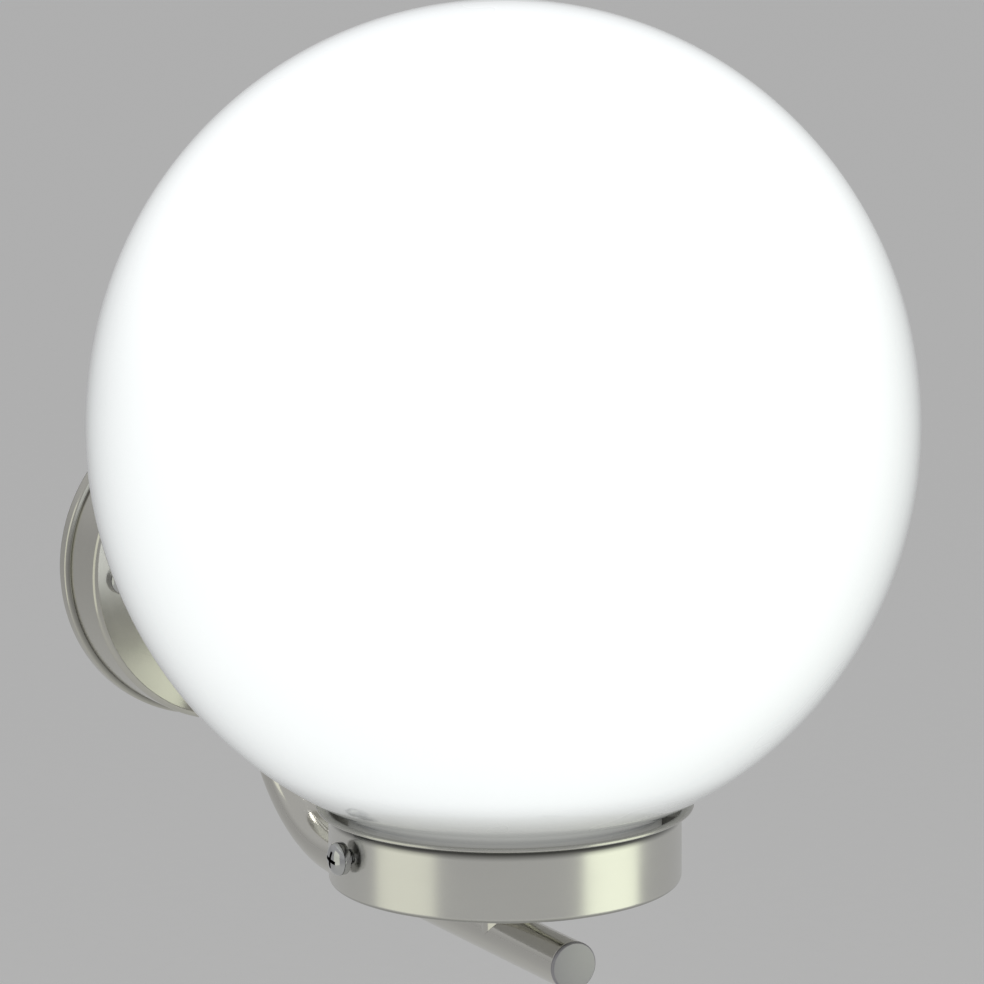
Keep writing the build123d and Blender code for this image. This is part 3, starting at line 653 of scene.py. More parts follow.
def arc(
    centre: Vector | tuple[float, float],
    size: tuple[float, float],
    start: float,
    end: float,
    steps: int,
) -> list[Vector]:
    """Arc of an ellipse in a half section.

    Args:
        centre: Middle of the ellipse, as radius and height.
        size: Its half width and half height.
        start: First angle, in radians up from the outward side.
        end: Last angle.
        steps: Straight pieces.

    Returns:
        The points, with one at a pole exactly on the axis.
    """
    line = []
    for step in range(steps + 1):
        angle = start + (end - start) * step / steps
        radius = round(centre[0] + size[0] * math.cos(angle), 12)
        line.append(Vector((radius, centre[1] + size[1] * math.sin(angle))))
    return line


def rounded(
    corners: list[Vector | tuple[float, ...]], radii: list[float], steps: int
) -> list[Vector]:
    """Line through the corners with each turned into an arc.

    Args:
        corners: Points, in two or three dimensions.
        radii: One radius for each inner corner, 0 for a sharp one.
        steps: Straight pieces in an arc of a right angle.

    Returns:
        The points along the rounded line.
    """
    points = [Vector(corner) for corner in corners]
    line = [points[0]]
    for before, corner, after, radius in zip(points, points[1:], points[2:], radii):
        towards, away = (before - corner).normalized(), (after - corner).normalized()
        half = towards.angle(away) / 2
        if radius == 0.0 or half > math.pi / 2 - STRAIGHT:
            line.append(corner)
            continue
        centre = corner + (towards + away).normalized() * (radius / math.sin(half))
        first = corner + towards * (radius / math.tan(half)) - centre
        last = corner + away * (radius / math.tan(half)) - centre
        turn = math.pi - 2 * half
        count = max(2, round(steps * turn / (math.pi / 2)))
        for step in range(count + 1):
            share = step / count
            weight = math.sin((1 - share) * turn), math.sin(share * turn)
            line.append(centre + (first * weight[0] + last * weight[1]) / math.sin(turn))
    line.append(points[-1])
    return line


def closed_outline(corners: list[tuple[float, float, float]], steps: int) -> list[Vector]:
    """Closed half section with rounded corners.

    Args:
        corners: Radius, height and rounding of each corner.
        steps: Straight pieces in an arc of a right angle.

    Returns:
        The points round the section.
    """
    ring = [Vector((radius, height)) for radius, height, _ in corners]
    first = (ring[-1] + ring[0]) / 2
    return rounded([first, *ring, first], [rounding for _, _, rounding in corners], steps)[:-1]


def mesh_object(name: str, shape: bmesh.types.BMesh, smooth: bool = True) -> bpy.types.Object:
    """Turn a bmesh into an object with welded seams and outward faces.

    Args:
        name: Name of the object.
        shape: The bmesh, which is freed.
        smooth: Whether it is shaded smooth.

    Returns:
        The object.
    """
    bmesh.ops.remove_doubles(shape, verts=shape.verts, dist=WELD)
    bmesh.ops.recalc_face_normals(shape, faces=shape.faces)
    mesh = mesh_of(name, shape)
    if smooth:
        smoothed(mesh)
    return linked(name, mesh)


def add_grid(
    shape: bmesh.types.BMesh,
    rows: list[list[Vector]],
    wrap_rows: bool,
    lengths: list[float],
    girths: list[float],
) -> None:
    """Add a tube-like skin of quads, closed round each row.

    Args:
        shape: The mesh that is added to.
        rows: Rings of points, all of one count.
        wrap_rows: Whether the last ring joins the first.
        lengths: Distance along the piece at each ring, for the map.
        girths: Girth of each ring, for the map.
    """
    layer = shape.loops.layers.uv.verify()
    verts = [[shape.verts.new(point) for point in row] for row in rows]
    count = len(rows[0])
    last = len(rows) if wrap_rows else len(rows) - 1
    for i in range(last):
        j = (i + 1) % len(rows)
        for k in range(count):
            n = (k + 1) % count
            face = shape.faces.new((verts[i][k], verts[i][n], verts[j][n], verts[j][k]))
            marks = ((i, k), (i, k + 1), (i + 1, k + 1), (i + 1, k))
            for loop, (row, column) in zip(face.loops, marks):
                loop[layer].uv = (lengths[row], girths[row % len(rows)] * column / count)


def running_length(points: list[Vector]) -> list[float]:
    """Distance from the first point to each, along the line.

    Args:
        points: Points of the line.

    Returns:
        One distance for each point.
    """
    lengths = [0.0]
    for here, after in zip(points, points[1:]):
        lengths.append(lengths[-1] + (after - here).length)
    return lengths


def lathe(
    name: str, outline: list[Vector], axis: Axis, segments: int, closed: bool = True
) -> bpy.types.Object:
    """Spin a half section about an axis.

    Args:
        name: Name of the piece.
        outline: Points (radius, height) in order.
        axis: The axis.
        segments: Steps round the axis.
        closed: Whether the outline's end joins its start.

    Returns:
        The spun piece.
    """
    turns = [math.tau * step / segments for step in range(segments)]
    rows = [
        [axis.point(point.x * math.cos(turn), point.x * math.sin(turn), point.y) for turn in turns]
        for point in outline
    ]
    lengths = running_length([*outline, outline[0]])
    shape = bmesh.new()
    add_grid(shape, rows, closed, lengths, [math.tau * point.x for point in outline])
    return mesh_object(name, shape)


def tube(
    name: str, path: list[Vector], radius: float, bore: float, segments: int
) -> bpy.types.Object:
    """Round tube or rod along a path, its ends square and slightly broken.

    Args:
        name: Name of the piece.
        path: Points along the middle line.
        radius: Outside radius.
        bore: Inside radius, 0 for a solid rod.
        segments: Steps round the tube.

    Returns:
        The tube.
    """
    last = len(path) - 1
    tangents = [
        (path[min(index + 1, last)] - path[max(index - 1, 0)]).normalized()
        for index in range(last + 1)
    ]
    side = tangents[0].orthogonal().normalized()
    frames = []
    for centre, tangent in zip(path, tangents):
        side = (side - tangent * side.dot(tangent)).normalized()
        frames.append((centre, side, tangent.cross(side)))

    def ring(index: int, size: float, shift: float = 0.0) -> list[Vector]:
        """One ring of the skin.

        Args:
            index: Point of the path that it is round.
            size: Its radius.
            shift: How far it is moved along the tube.

        Returns:
            The ring's points.
        """
        centre, across, up = frames[index]
        centre = centre + tangents[index] * shift
        turns = [math.tau * step / segments for step in range(segments)]
        return [centre + (across * math.cos(a) + up * math.sin(a)) * size for a in turns]

    edge = 0.12 * MM if bore else 0.05 * MM
    along = running_length(path)
    outer = [ring(0, radius - edge), ring(0, radius, edge)]
    outer += [ring(index, radius) for index in range(1, last)]
    outer += [ring(last, radius, -edge), ring(last, radius - edge)]
    lengths = [along[0], *along, along[-1]]
    if bore:
        rows = outer + [ring(index, bore) for index in range(last, -1, -1)]
        lengths = lengths + along[::-1] + [0.0]
    else:
        rows = [ring(0, TIP), *outer, ring(last, TIP)]
        lengths = [along[0], *lengths, along[-1]]
    shape = bmesh.new()
    add_grid(shape, rows, bool(bore), lengths, [math.tau * radius] * len(rows))
    return mesh_object(name, shape)


def remade(piece: bpy.types.Object) -> bpy.types.Object:
    """Replace a piece's mesh by what its modifiers give, smooth, and drop the modifiers.

    Args:
        piece: The piece.

    Returns:
        The same piece.
    """
    bpy.context.view_layer.update()
    graph = bpy.context.evaluated_depsgraph_get()
    mesh = bpy.data.meshes.new_from_object(piece.evaluated_get(graph))
    piece.modifiers.clear()
    piece.data = mesh
    smoothed(mesh)
    return piece


def cut(piece: bpy.types.Object, cutters: list[bpy.types.Object]) -> None:
    """Take the cutters away from a piece and remove them from the scene.

    Args:
        piece: The piece that is cut.
        cutters: Closed shapes.
    """
    for cutter in cutters:
        step = piece.modifiers.new("cut", "BOOLEAN")
        step.operation = "DIFFERENCE"
        step.solver = "EXACT"
        step.object = cutter
    remade(piece)
    for cutter in cutters:
        bpy.data.objects.remove(cutter)


def merged(name: str, parts: list[bpy.types.Object]) -> bpy.types.Object:
    """One object from several, each keeping its own closed skin.

    Args:
        name: Name of the object.
        parts: The objects, which are removed.

    Returns:
        The merged object.
    """
    shape = bmesh.new()
    for part in parts:
        shape.from_mesh(part.data)
    mesh = mesh_of(name, shape)
    for part in parts:
        bpy.data.objects.remove(part)
    return linked(name, mesh)


def dress(
    piece: bpy.types.Object, material: bpy.types.Material, body: str, slot: str, *nodes: str
) -> None:
    """Give a finished piece what it needs to stand for its CAD nodes.

    Args:
        piece: The piece.
        material: Its material.
        body: The body that it rides on.
        slot: The record's material slot; not used.
        *nodes: The nodes that it stands for.
    """
    piece.data.materials.clear()
    piece.data.materials.append(material)
    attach(piece, body)
    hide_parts(*nodes)
    log.info("%s: %d faces on %s", piece.name, len(piece.data.polygons), body)


def dress_nodes(materials: dict[str, bpy.types.Material]) -> None:
    """Give CAD nodes that keep their shape their materials.

    Args:
        materials: The material of each node.
    """
    for name, material in materials.items():
        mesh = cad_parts[name].data
        mesh.materials.clear()
        mesh.materials.append(material)
        log.info("%s: CAD node, %s", name, material.name)


# Geometry Nodes trees


class Recipe:
    """A Geometry Nodes tree that ends in Realize Instances and Set Material."""

    def __init__(self, name: str, inputs: dict[str, tuple[str, object]]) -> None:
        """Start a tree with named inputs.

        Args:
            name: Name of the tree.
            inputs: Socket type and default of each input.
        """
        self.tree = bpy.data.node_groups.new(name, "GeometryNodeTree")
        interface = self.tree.interface
        interface.new_socket("Geometry", in_out="OUTPUT", socket_type="NodeSocketGeometry")
        self.identifiers = {}
        for label, (kind, default) in inputs.items():
            socket = interface.new_socket(label, in_out="INPUT", socket_type=kind)
            socket.default_value = default
            self.identifiers[label] = socket.identifier
        kind = "NodeSocketMaterial"
        socket = interface.new_socket("Material", in_out="INPUT", socket_type=kind)
        self.identifiers["Material"] = socket.identifier
        self.entry = self.tree.nodes.new("NodeGroupInput")

    def node(
        self, kind: str, settings: dict[str, object], inputs: dict[str | int, object]
    ) -> bpy.types.NodeSocket:
        """Add one node.

        Args:
            kind: The node's type.
            settings: Its own settings, set before any socket.
            inputs: Values or links of its sockets. A text names an input of the tree.

        Returns:
            The node's first output.
        """
        made = self.tree.nodes.new(kind)
        for key, setting in settings.items():
            setattr(made, key, setting)
        for key, item in inputs.items():
            if isinstance(item, str):
                item = self.entry.outputs[item]
            if isinstance(item, bpy.types.NodeSocket):
                self.tree.links.new(item, made.inputs[key])
            else:
                made.inputs[key].default_value = item
        return made.outputs[0]

    def end(self, geometry: bpy.types.NodeSocket) -> Recipe:
        """Close the tree with its realised, dressed geometry.

        Args:
            geometry: What the tree has made.

        Returns:
            The recipe.
        """
        real = self.node("GeometryNodeRealizeInstances", {}, {"Geometry": geometry})
        inputs = {"Geometry": real, "Material": "Material"}
        dressed = self.node("GeometryNodeSetMaterial", {}, inputs)
        leave = self.tree.nodes.new("NodeGroupOutput")
        self.tree.links.new(dressed, leave.inputs[0])
        return self

    def make(self, name: str, **values: object) -> bpy.types.Object:
        """Run the tree.

        Args:
            name: Name of the piece.
            **values: The tree's inputs, named in lower case.

        Returns:
            The result as a plain mesh object.
        """
        piece = linked(name, bpy.data.meshes.new(name))
        modifier = piece.modifiers.new(name, "NODES")
        modifier.node_group = self.tree
        for key, value in values.items():
            modifier[self.identifiers[socket_name(key)]] = value
        return remade(piece)


def thread_recipe() -> Recipe:
    """Tree of a helical ridge: a screw thread, or the rolled thread of a lamp cap.

    Returns:
        The recipe.
    """
    inputs = {
        "Radius": ("NodeSocketFloat", 2.0 * MM),
        "Ridge": ("NodeSocketFloat", 0.3 * MM),
        "Ridge Sides": ("NodeSocketInt", 4),
        "Turns": ("NodeSocketFloat", 5.0),
        "Height": ("NodeSocketFloat", 3.5 * MM),
        "Base": ("NodeSocketVector", (0.0, 0.0, 0.0)),
        "Steps": ("NodeSocketInt", 48),
    }
    recipe = Recipe("helical_thread", inputs)
    path = {
        "Resolution": "Steps",
        "Rotations": "Turns",
        "Start Radius": "Radius",
        "End Radius": "Radius",
        "Height": "Height",
    }
    spiral = recipe.node("GeometryNodeCurveSpiral", {}, path)
    section = {"Resolution": "Ridge Sides", "Radius": "Ridge"}
    ridge = recipe.node("GeometryNodeCurvePrimitiveCircle", {}, section)
    sweep = {"Curve": spiral, "Profile Curve": ridge, "Fill Caps": True}
    swept = recipe.node("GeometryNodeCurveToMesh", {}, sweep)
    place = {"Geometry": swept, "Translation": "Base"}
    return recipe.end(recipe.node("GeometryNodeTransform", {}, place))


def rib_recipe() -> Recipe:
    """Tree of the grip's ribs: equal bars set in a ring, a little uneven.

    Returns:
        The recipe.
    """
    inputs = {
        "Count": ("NodeSocketInt", 24),
        "Ring Radius": ("NodeSocketFloat", 19.0 * MM),
        "Rib Radius": ("NodeSocketFloat", 0.6 * MM),
        "Rib Length": ("NodeSocketFloat", 20.0 * MM),
        "Centre": ("NodeSocketVector", (0.0, 0.0, 0.0)),
        "Unevenness": ("NodeSocketFloat", 0.02),
        "Seed": ("NodeSocketInt", 3),
    }
    recipe = Recipe("ring_of_ribs", inputs)
    circle = {"Vertices": "Count", "Radius": "Ring Radius"}
    points = recipe.node("GeometryNodeMeshCircle", {}, circle)
    bar = {"Vertices": 12, "Radius": "Rib Radius", "Depth": "Rib Length"}
    rib = recipe.node("GeometryNodeMeshCylinder", {"fill_type": "TRIANGLE_FAN"}, bar)
    least = recipe.node("ShaderNodeMath", {"operation": "SUBTRACT"}, {0: 1.0, 1: "Unevenness"})
    sizes = {2: least, 3: 1.0, "Seed": "Seed"}
    spread = recipe.node("FunctionNodeRandomValue", {"data_type": "FLOAT"}, sizes)
    copies = {"Points": points, "Instance": rib, "Scale": spread}
    ring = recipe.node("GeometryNodeInstanceOnPoints", {}, copies)
    place = {"Geometry": ring, "Translation": "Centre"}
    return recipe.end(recipe.node("GeometryNodeTransform", {}, place))


# Sub-assemblies


class Finishes:
    """Every finish of the light, made once and shared."""

    def __init__(self) -> None:
        """Build the materials."""
        globe, rose, plain = Grain.AROUND_GLOBE, Grain.AROUND_ROSE, Grain.PLAIN
        cup_foot, cup_rim = (corner.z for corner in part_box("gallery"))
        # Painted shade on the cup: darker at the rim, a dark line in the groove under it, darker
        # at the foot.
        painted_cup_shade = (
            PaintedShadeLine(cup_rim - 1.1 * MM, cup_rim + 1.0 * MM, 0.66),
            PaintedShadeLine(cup_rim - 4.0 * MM, cup_rim - 0.65 * MM, 0.1),
            PaintedShadeLine(cup_foot - 0.6 * MM, cup_foot + 1.1 * MM, 0.55),
        )
        self.cup = PolishedSteel(
            "satin_cup_steel", rgb(0.7, 0.695, 0.66), 0.24, globe, painted_shade_lines=painted_cup_shade
        ).build()
        # Painted shade: the rose's crease is painted darker.
        painted_crease_shade = (PaintedShadeLine(-6.0 * MM, -3.8 * MM, 0.4),)
        self.rose = PolishedSteel(
            "satin_rose_steel", rgb(0.585, 0.575, 0.53), 0.19, rose, painted_shade_lines=painted_crease_shade
        ).build()
        tube_steel = rgb(0.65, 0.64, 0.6)
        self.arm = PolishedSteel("polished_tube_steel", tube_steel, 0.12, Grain.ALONG).build()
        self.post = PolishedSteel("polished_post_steel", tube_steel, 0.14, globe).build()
        # Its colour is darker than the steel's own: painted shade, standing for reflections of
        # dark surroundings.
        self.end = PolishedSteel("turned_end_steel", rgb(0.35, 0.345, 0.37), 0.42, plain).build()
        # The screw's cross recess is painted dark, as shade.
        self.screw = PolishedSteel(
            "bright_screw_steel", rgb(0.51, 0.515, 0.52), 0.09, plain, marks=0.02, recess=0.06
        ).build()
        self.zinc = ZincPlate("zinc_plate", rgb(0.62, 0.63, 0.64)).build()
        self.brass = PolishedSteel("bright_brass", rgb(0.78, 0.58, 0.27), 0.24, plain).build()
        self.copper = ZincPlate("tinned_copper", rgb(0.72, 0.66, 0.6), 0.3).build()
        self.nickel = PolishedSteel("rolled_nickel", rgb(0.7, 0.69, 0.65), 0.22, globe).build()
        # The neck's darker colour and glow are painted shade.
        self.globe = OpalGlass(
            "lit_opal_glass",
            rgb(0.82, 0.83, 0.84),
            painted_neck_shade=rgb(0.25, 0.25, 0.24),
            glow=rgb(0.94, 0.98, 1.0),
            painted_neck_glow=rgb(0.37, 0.37, 0.35),
            strength=0.66,
        ).build()
        self.rubber = Moulded("black_rubber", rgb(0.03, 0.03, 0.03), 0.72, 1800.0).build()
        self.foam = Foam("dark_foam", rgb(0.05, 0.05, 0.052)).build()
        self.white_plastic = Moulded("ivory_plastic", rgb(0.8, 0.79, 0.74), 0.42).build()
        self.black_plastic = Moulded(
            "black_phenolic", rgb(0.022, 0.021, 0.02), 0.3, 900.0, 3 * MICRON, mottle=0.3
        ).build()
        self.ceramic = Moulded(
            "glazed_ceramic", rgb(0.82, 0.8, 0.74), 0.25, 500.0, 8 * MICRON,
            mottle=0.05, gloss_coat=0.6,
        ).build()
        self.black_glass = Moulded("black_lamp_glass", rgb(0.015, 0.012, 0.015), 0.12).build()
        self.solder = ZincPlate("dull_solder", rgb(0.55, 0.55, 0.53), 0.5).build()
        self.lamp_white = Moulded("lamp_housing_white", rgb(0.84, 0.84, 0.82), 0.4).build()
        self.lamp_opal = Moulded(
            "lit_lamp_opal", rgb(1.0, 0.98, 0.93), 0.35, 600.0, 2 * MICRON,
            mottle=0.01, gloss_coat=0.2, glow=0.9,
        ).build()


@dataclass
class MachineScrew:
    """M4 round-head screw with a cross recess and a real thread."""

    material: bpy.types.Material
    thread: Recipe
    radius: float = 2.0 * MM
    pitch: float = 0.7 * MM
    ridge: float = 0.22 * MM
    head_radius: float = 4.0 * MM
    head_side: float = 1.5 * MM
    head_height: float = 3.7 * MM
    recess_length: float = 4.4 * MM
    recess_width: float = 0.9 * MM
    recess_depth: float = 1.8 * MM
    recess_flare: float = 1.1
    recess_taper: float = 0.62

    def _slot(self, angle: float) -> bpy.types.Object:
        """One tapered arm of the cross, to be cut out of the head.

        Args:
            angle: Its turn about the axis, in radians.

        Returns:
            The closed cutter.
        """
        shape = bmesh.new()
        top, low = self.head_height + 0.2 * MM, self.head_height - self.recess_depth
        spin = Matrix.Rotation(angle, 3, "Z")
        rings = []
        for level, share in ((top, self.recess_flare), (low, self.recess_taper)):
            half_length = self.recess_length / 2 * share
            half_width = self.recess_width / 2 * share
            corners = ((1, 1), (-1, 1), (-1, -1), (1, -1))
            ring = [Vector((sx * half_length, sy * half_width, level)) for sx, sy in corners]
            rings.append([shape.verts.new(spin @ corner) for corner in ring])
        upper, lower = rings
        shape.faces.new(upper)
        shape.faces.new(lower[::-1])
        for k in range(4):
            n = (k + 1) % 4
            shape.faces.new((upper[n], upper[k], lower[k], lower[n]))
        return mesh_object("recess_slot", shape, smooth=False)

    def _mark_painted_recess_shade(self, mesh: bpy.types.Mesh) -> None:
        """Mark the faces of the recess, where the light hardly gets in, to be painted darker as
        shade.

        Args:
            mesh: The screw's mesh, its head up the local Z.
        """
        marks = mesh.attributes.new("recess", "FLOAT", "FACE")
        rise = self.head_height - self.head_side
        for face, mark in zip(mesh.polygons, marks.data):
            spread = math.hypot(face.center.x, face.center.y) / self.head_radius
            dome = self.head_side + rise * math.sqrt(max(0.0, 1 - spread * spread))
            mark.value = float(self.head_side < face.center.z < dome - 0.05 * MM)

    def build(
        self, name: str, seat: Vector, out: Vector, length: float, turn: float
    ) -> bpy.types.Object:
        """Make one screw.

        Args:
            name: Name of the piece.
            seat: Point under the head, on the axis.
            out: Direction from the tip to the head.
            length: Length under the head.
            turn: Turn of the recess about the axis, in radians.

        Returns:
            The screw in its place.
        """
        root = self.radius - 2 * self.ridge
        outline = rounded(
            [
                (0, -length),
                (root - 0.3 * MM, -length),
                (root, 0.4 * MM - length),
                (root, -0.5 * MM),
                (self.radius - self.ridge, -0.1 * MM),
                (self.radius, 0),
                (self.head_radius, 0),
                (self.head_radius, self.head_side),
            ],
            [0, 0, 0, 0, 0, 0.12 * MM],
            6,
        )
        dome = (self.head_radius, self.head_height - self.head_side)
        outline += arc((0, self.head_side), dome, 0, math.pi / 2, 24)[1:]
        head = lathe(name, outline, Axis.LOCAL, 72, closed=False)
        cut(head, [self._slot(turn), self._slot(turn + math.pi / 2)])
        run = length - self.pitch
        ridges = self.thread.make(
            f"{name}_thread",
            radius=self.radius - self.ridge,
            ridge=self.ridge,
            turns=run / self.pitch,
            height=run,
            base=(0.0, 0.0, 0.3 * MM - length),
            steps=32,
            material=self.material,
        )
        screw = merged(name, [head, ridges])
        self._mark_painted_recess_shade(screw.data)
        smoothed(screw.data)
        turned = out.to_track_quat("Z", "Y").to_matrix().to_4x4()
        screw.data.transform(Matrix.Translation(seat) @ turned)
        return screw


@dataclass
class Globe:
    """Opal glass globe with its plain neck."""

    finishes: Finishes
    radius: float = 100.0 * MM
    half_height: float = 101.8 * MM
    centre_z: float = 60.5 * MM
    wall: float = 2.0 * MM
    neck: float = 38.2 * MM
    fillet: float = 5.0 * MM
    lip: float = 6.0 * MM
    lip_rounding: float = 0.7 * MM
    neck_bottom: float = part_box("globe_neck")[0].z

    def _skin(self, inset: float, steps: int) -> list[Vector]:
        """Half outline from the top of the ball to where the neck starts.

        Args:
            inset: How far it lies inside the outer skin.
            steps: Straight pieces down the ball.

        Returns:
            The outline's points.
        """
        width, height = self.radius - inset, self.half_height - inset
        fillet = self.fillet + inset
        # The angle is halved in until the fillet touches the ball and the neck.
        low, high = 0.0, math.pi / 2
        for _ in range(60):
            angle = (low + high) / 2
            slope = Vector((math.sin(angle) / width, -math.cos(angle) / height)).normalized()
            if width * math.sin(angle) + fillet * slope.x < self.neck + self.fillet:
                low = angle
            else:
                high = angle
        touch = Vector((width * math.sin(angle), self.centre_z - height * math.cos(angle)))
        centre = touch + slope * fillet
        pole, foot = math.pi / 2, angle - math.pi / 2
        ball = arc((0, self.centre_z), (width, height), pole, foot, steps)
        start = math.atan2(touch.y - centre.y, touch.x - centre.x) % math.tau
        return ball + arc(centre, (fillet, fillet), start, math.pi, 14)[1:]

    def build(self) -> None:
        """Make and dress the globe."""
        inside, top = self.neck - self.wall, self.neck_bottom + self.lip
        lip = rounded(
            [
                (self.neck, top),
                (self.neck, self.neck_bottom),
                (inside, self.neck_bottom),
                (inside, top),
            ],
            [self.lip_rounding, self.lip_rounding],
            6,
        )
        outline = self._skin(0.0, 150) + lip + self._skin(self.wall, 90)[::-1]
        glass = lathe("opal_globe", outline, Axis.GLOBE, 192, closed=False)
        nodes = ("globe_top", "globe_bottom", "globe_neck")
        dress(glass, self.finishes.globe, "globe", "opal_glass", *nodes)


@dataclass
class Gallery:
    """Steel cup with its flared rim, gasket, nuts and the two neck screws."""

    finishes: Finishes
    screw: MachineScrew
    radius: float = 43.0 * MM
    rim: float = 46.0 * MM
    base_z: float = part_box("gallery")[0].z
    rim_z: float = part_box("gallery")[1].z
    sheet: float = 0.8 * MM
    hole: float = 5.08 * MM
    screw_z: float = -40.7 * MM
    screw_seat: float = 44.35 * MM
    screw_length: float = 5.85 * MM
    screw_hole: float = 2.2 * MM
    drill_reach: float = 60.0 * MM
    left_turn: float = -0.21
    right_turn: float = 1.1

    def cup(self) -> None:
        """The spun cup."""
        inner, floor = self.radius - self.sheet, self.base_z + self.sheet
        under = self.rim_z - self.sheet
        outline = closed_outline(
            [
                (self.hole, self.base_z, 0),
                (self.radius, self.base_z, 1.2 * MM),
                (self.radius, under, 2.1 * MM),
                (self.rim, under, 0.3 * MM),
                (self.rim, self.rim_z, 0.3 * MM),
                (inner, self.rim_z, 2.9 * MM),
                (inner, floor, 0.4 * MM),
                (self.hole, floor, 0),
            ],
            10,
        )
        cup = lathe("gallery_cup", outline, Axis.GLOBE, 240)
        across = [Vector((x, -REACH, self.screw_z)) for x in (-self.drill_reach, self.drill_reach)]
        cut(cup, [tube("hole", across, self.screw_hole, 0.0, 40)])
        dress(cup, self.finishes.cup, "bracket", "stainless", "gallery")

    def screws(self) -> None:
        """The pair of screws that hold the neck."""
        for side, label, turn in ((-1, "left", self.left_turn), (1, "right", self.right_turn)):
            seat = Vector((side * self.screw_seat, -REACH, self.screw_z))
            out = Vector((side, 0, 0))
            piece = self.screw.build(f"neck_screw_{label}", seat, out, self.screw_length, turn)
            node = f"globe_screw_{label}"
            dress(piece, self.screw.material, f"screw_{label}", "screw_steel", node)

    def build(self) -> None:
        """Make and dress the cup's pieces."""
        self.cup()
        self.screws()
        dress_nodes(
            {"gallery_nuts": self.finishes.zinc, "globe_gasket": self.finishes.rubber}
        )


@dataclass
class Arm:
    """Bent tube with its end cap, and the post that carries the cup."""

    finishes: Finishes
    radius: float = 6.0 * MM
    bore: float = 5.0 * MM
    start_y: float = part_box("arm_tube")[1].y
    drop_y: float = -33.5 * MM
    front_y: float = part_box("arm_tube")[0].y
    upper_bend: float = 14.0 * MM
    lower_bend: float = 46.0 * MM
    cap_edge: float = 0.35 * MM
    post_bore: float = 5.05 * MM
    post_top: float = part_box("post")[1].z

    def tube(self) -> None:
        """The bent tube."""
        corners = [
            (0, self.start_y, 0),
            (0, self.drop_y, 0),
            (0, self.drop_y, BAR_Z),
            (0, self.front_y, BAR_Z),
        ]
        path = rounded(corners, [self.upper_bend, self.lower_bend], 48)
        arm = tube("arm_tube_bent", path, self.radius, self.bore, 96)
        dress(arm, self.finishes.arm, "bracket", "polished_tube", "arm_tube")

    def end_cap(self) -> None:
        """The turned disc in the tube's front end."""
        low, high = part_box("arm_end_cap")
        face_y, shoulder = low.y, self.front_y - FIT
        spigot = self.bore - FIT
        outline = rounded(
            [
                (0, face_y),
                (self.radius - self.cap_edge, face_y),
                (self.radius, face_y + self.cap_edge),
                (self.radius, shoulder),
                (spigot, shoulder),
                (spigot, high.y),
                (0, high.y),
            ],
            [0.1 * MM, 0.1 * MM, 0.05 * MM, 0, 0.2 * MM],
            6,
        )
        cap = lathe("arm_end_disc", outline, Axis.ROSE, 96, closed=False)
        cap.data.transform(Matrix.Translation((0, 0, BAR_Z)))
        dress(cap, self.finishes.end, "bracket", "end_steel", "arm_end_cap")

    def post(self) -> None:
        """The post, its foot cut to the round of the arm."""
        outer, inner = self.radius, self.post_bore
        rows = []
        for size, is_foot in ((outer, True), (outer, False), (inner, False), (inner, True)):
            ring = []
            for step in range(128):
                angle = math.tau * step / 128
                x, y = size * math.cos(angle), size * math.sin(angle) - REACH
                saddle = math.sqrt(max(0.0, (self.radius + FIT) ** 2 - x * x))
                ring.append(Vector((x, y, BAR_Z + saddle if is_foot else self.post_top)))
            rows.append(ring)
        around = [ring[0] for ring in rows]
        shape = bmesh.new()
        lengths = running_length([*around, around[0]])
        add_grid(shape, rows, True, lengths, [math.tau * outer] * len(rows))
        piece = mesh_object("post_saddled", shape)
        dress(piece, self.finishes.post, "bracket", "stainless", "post")

    def build(self) -> None:
        """Make and dress the arm's pieces."""
        self.tube()
        self.end_cap()
        self.post()
        dress_nodes(
            {"arm_collar": self.finishes.zinc, "tube_bush": self.finishes.white_plastic}
        )


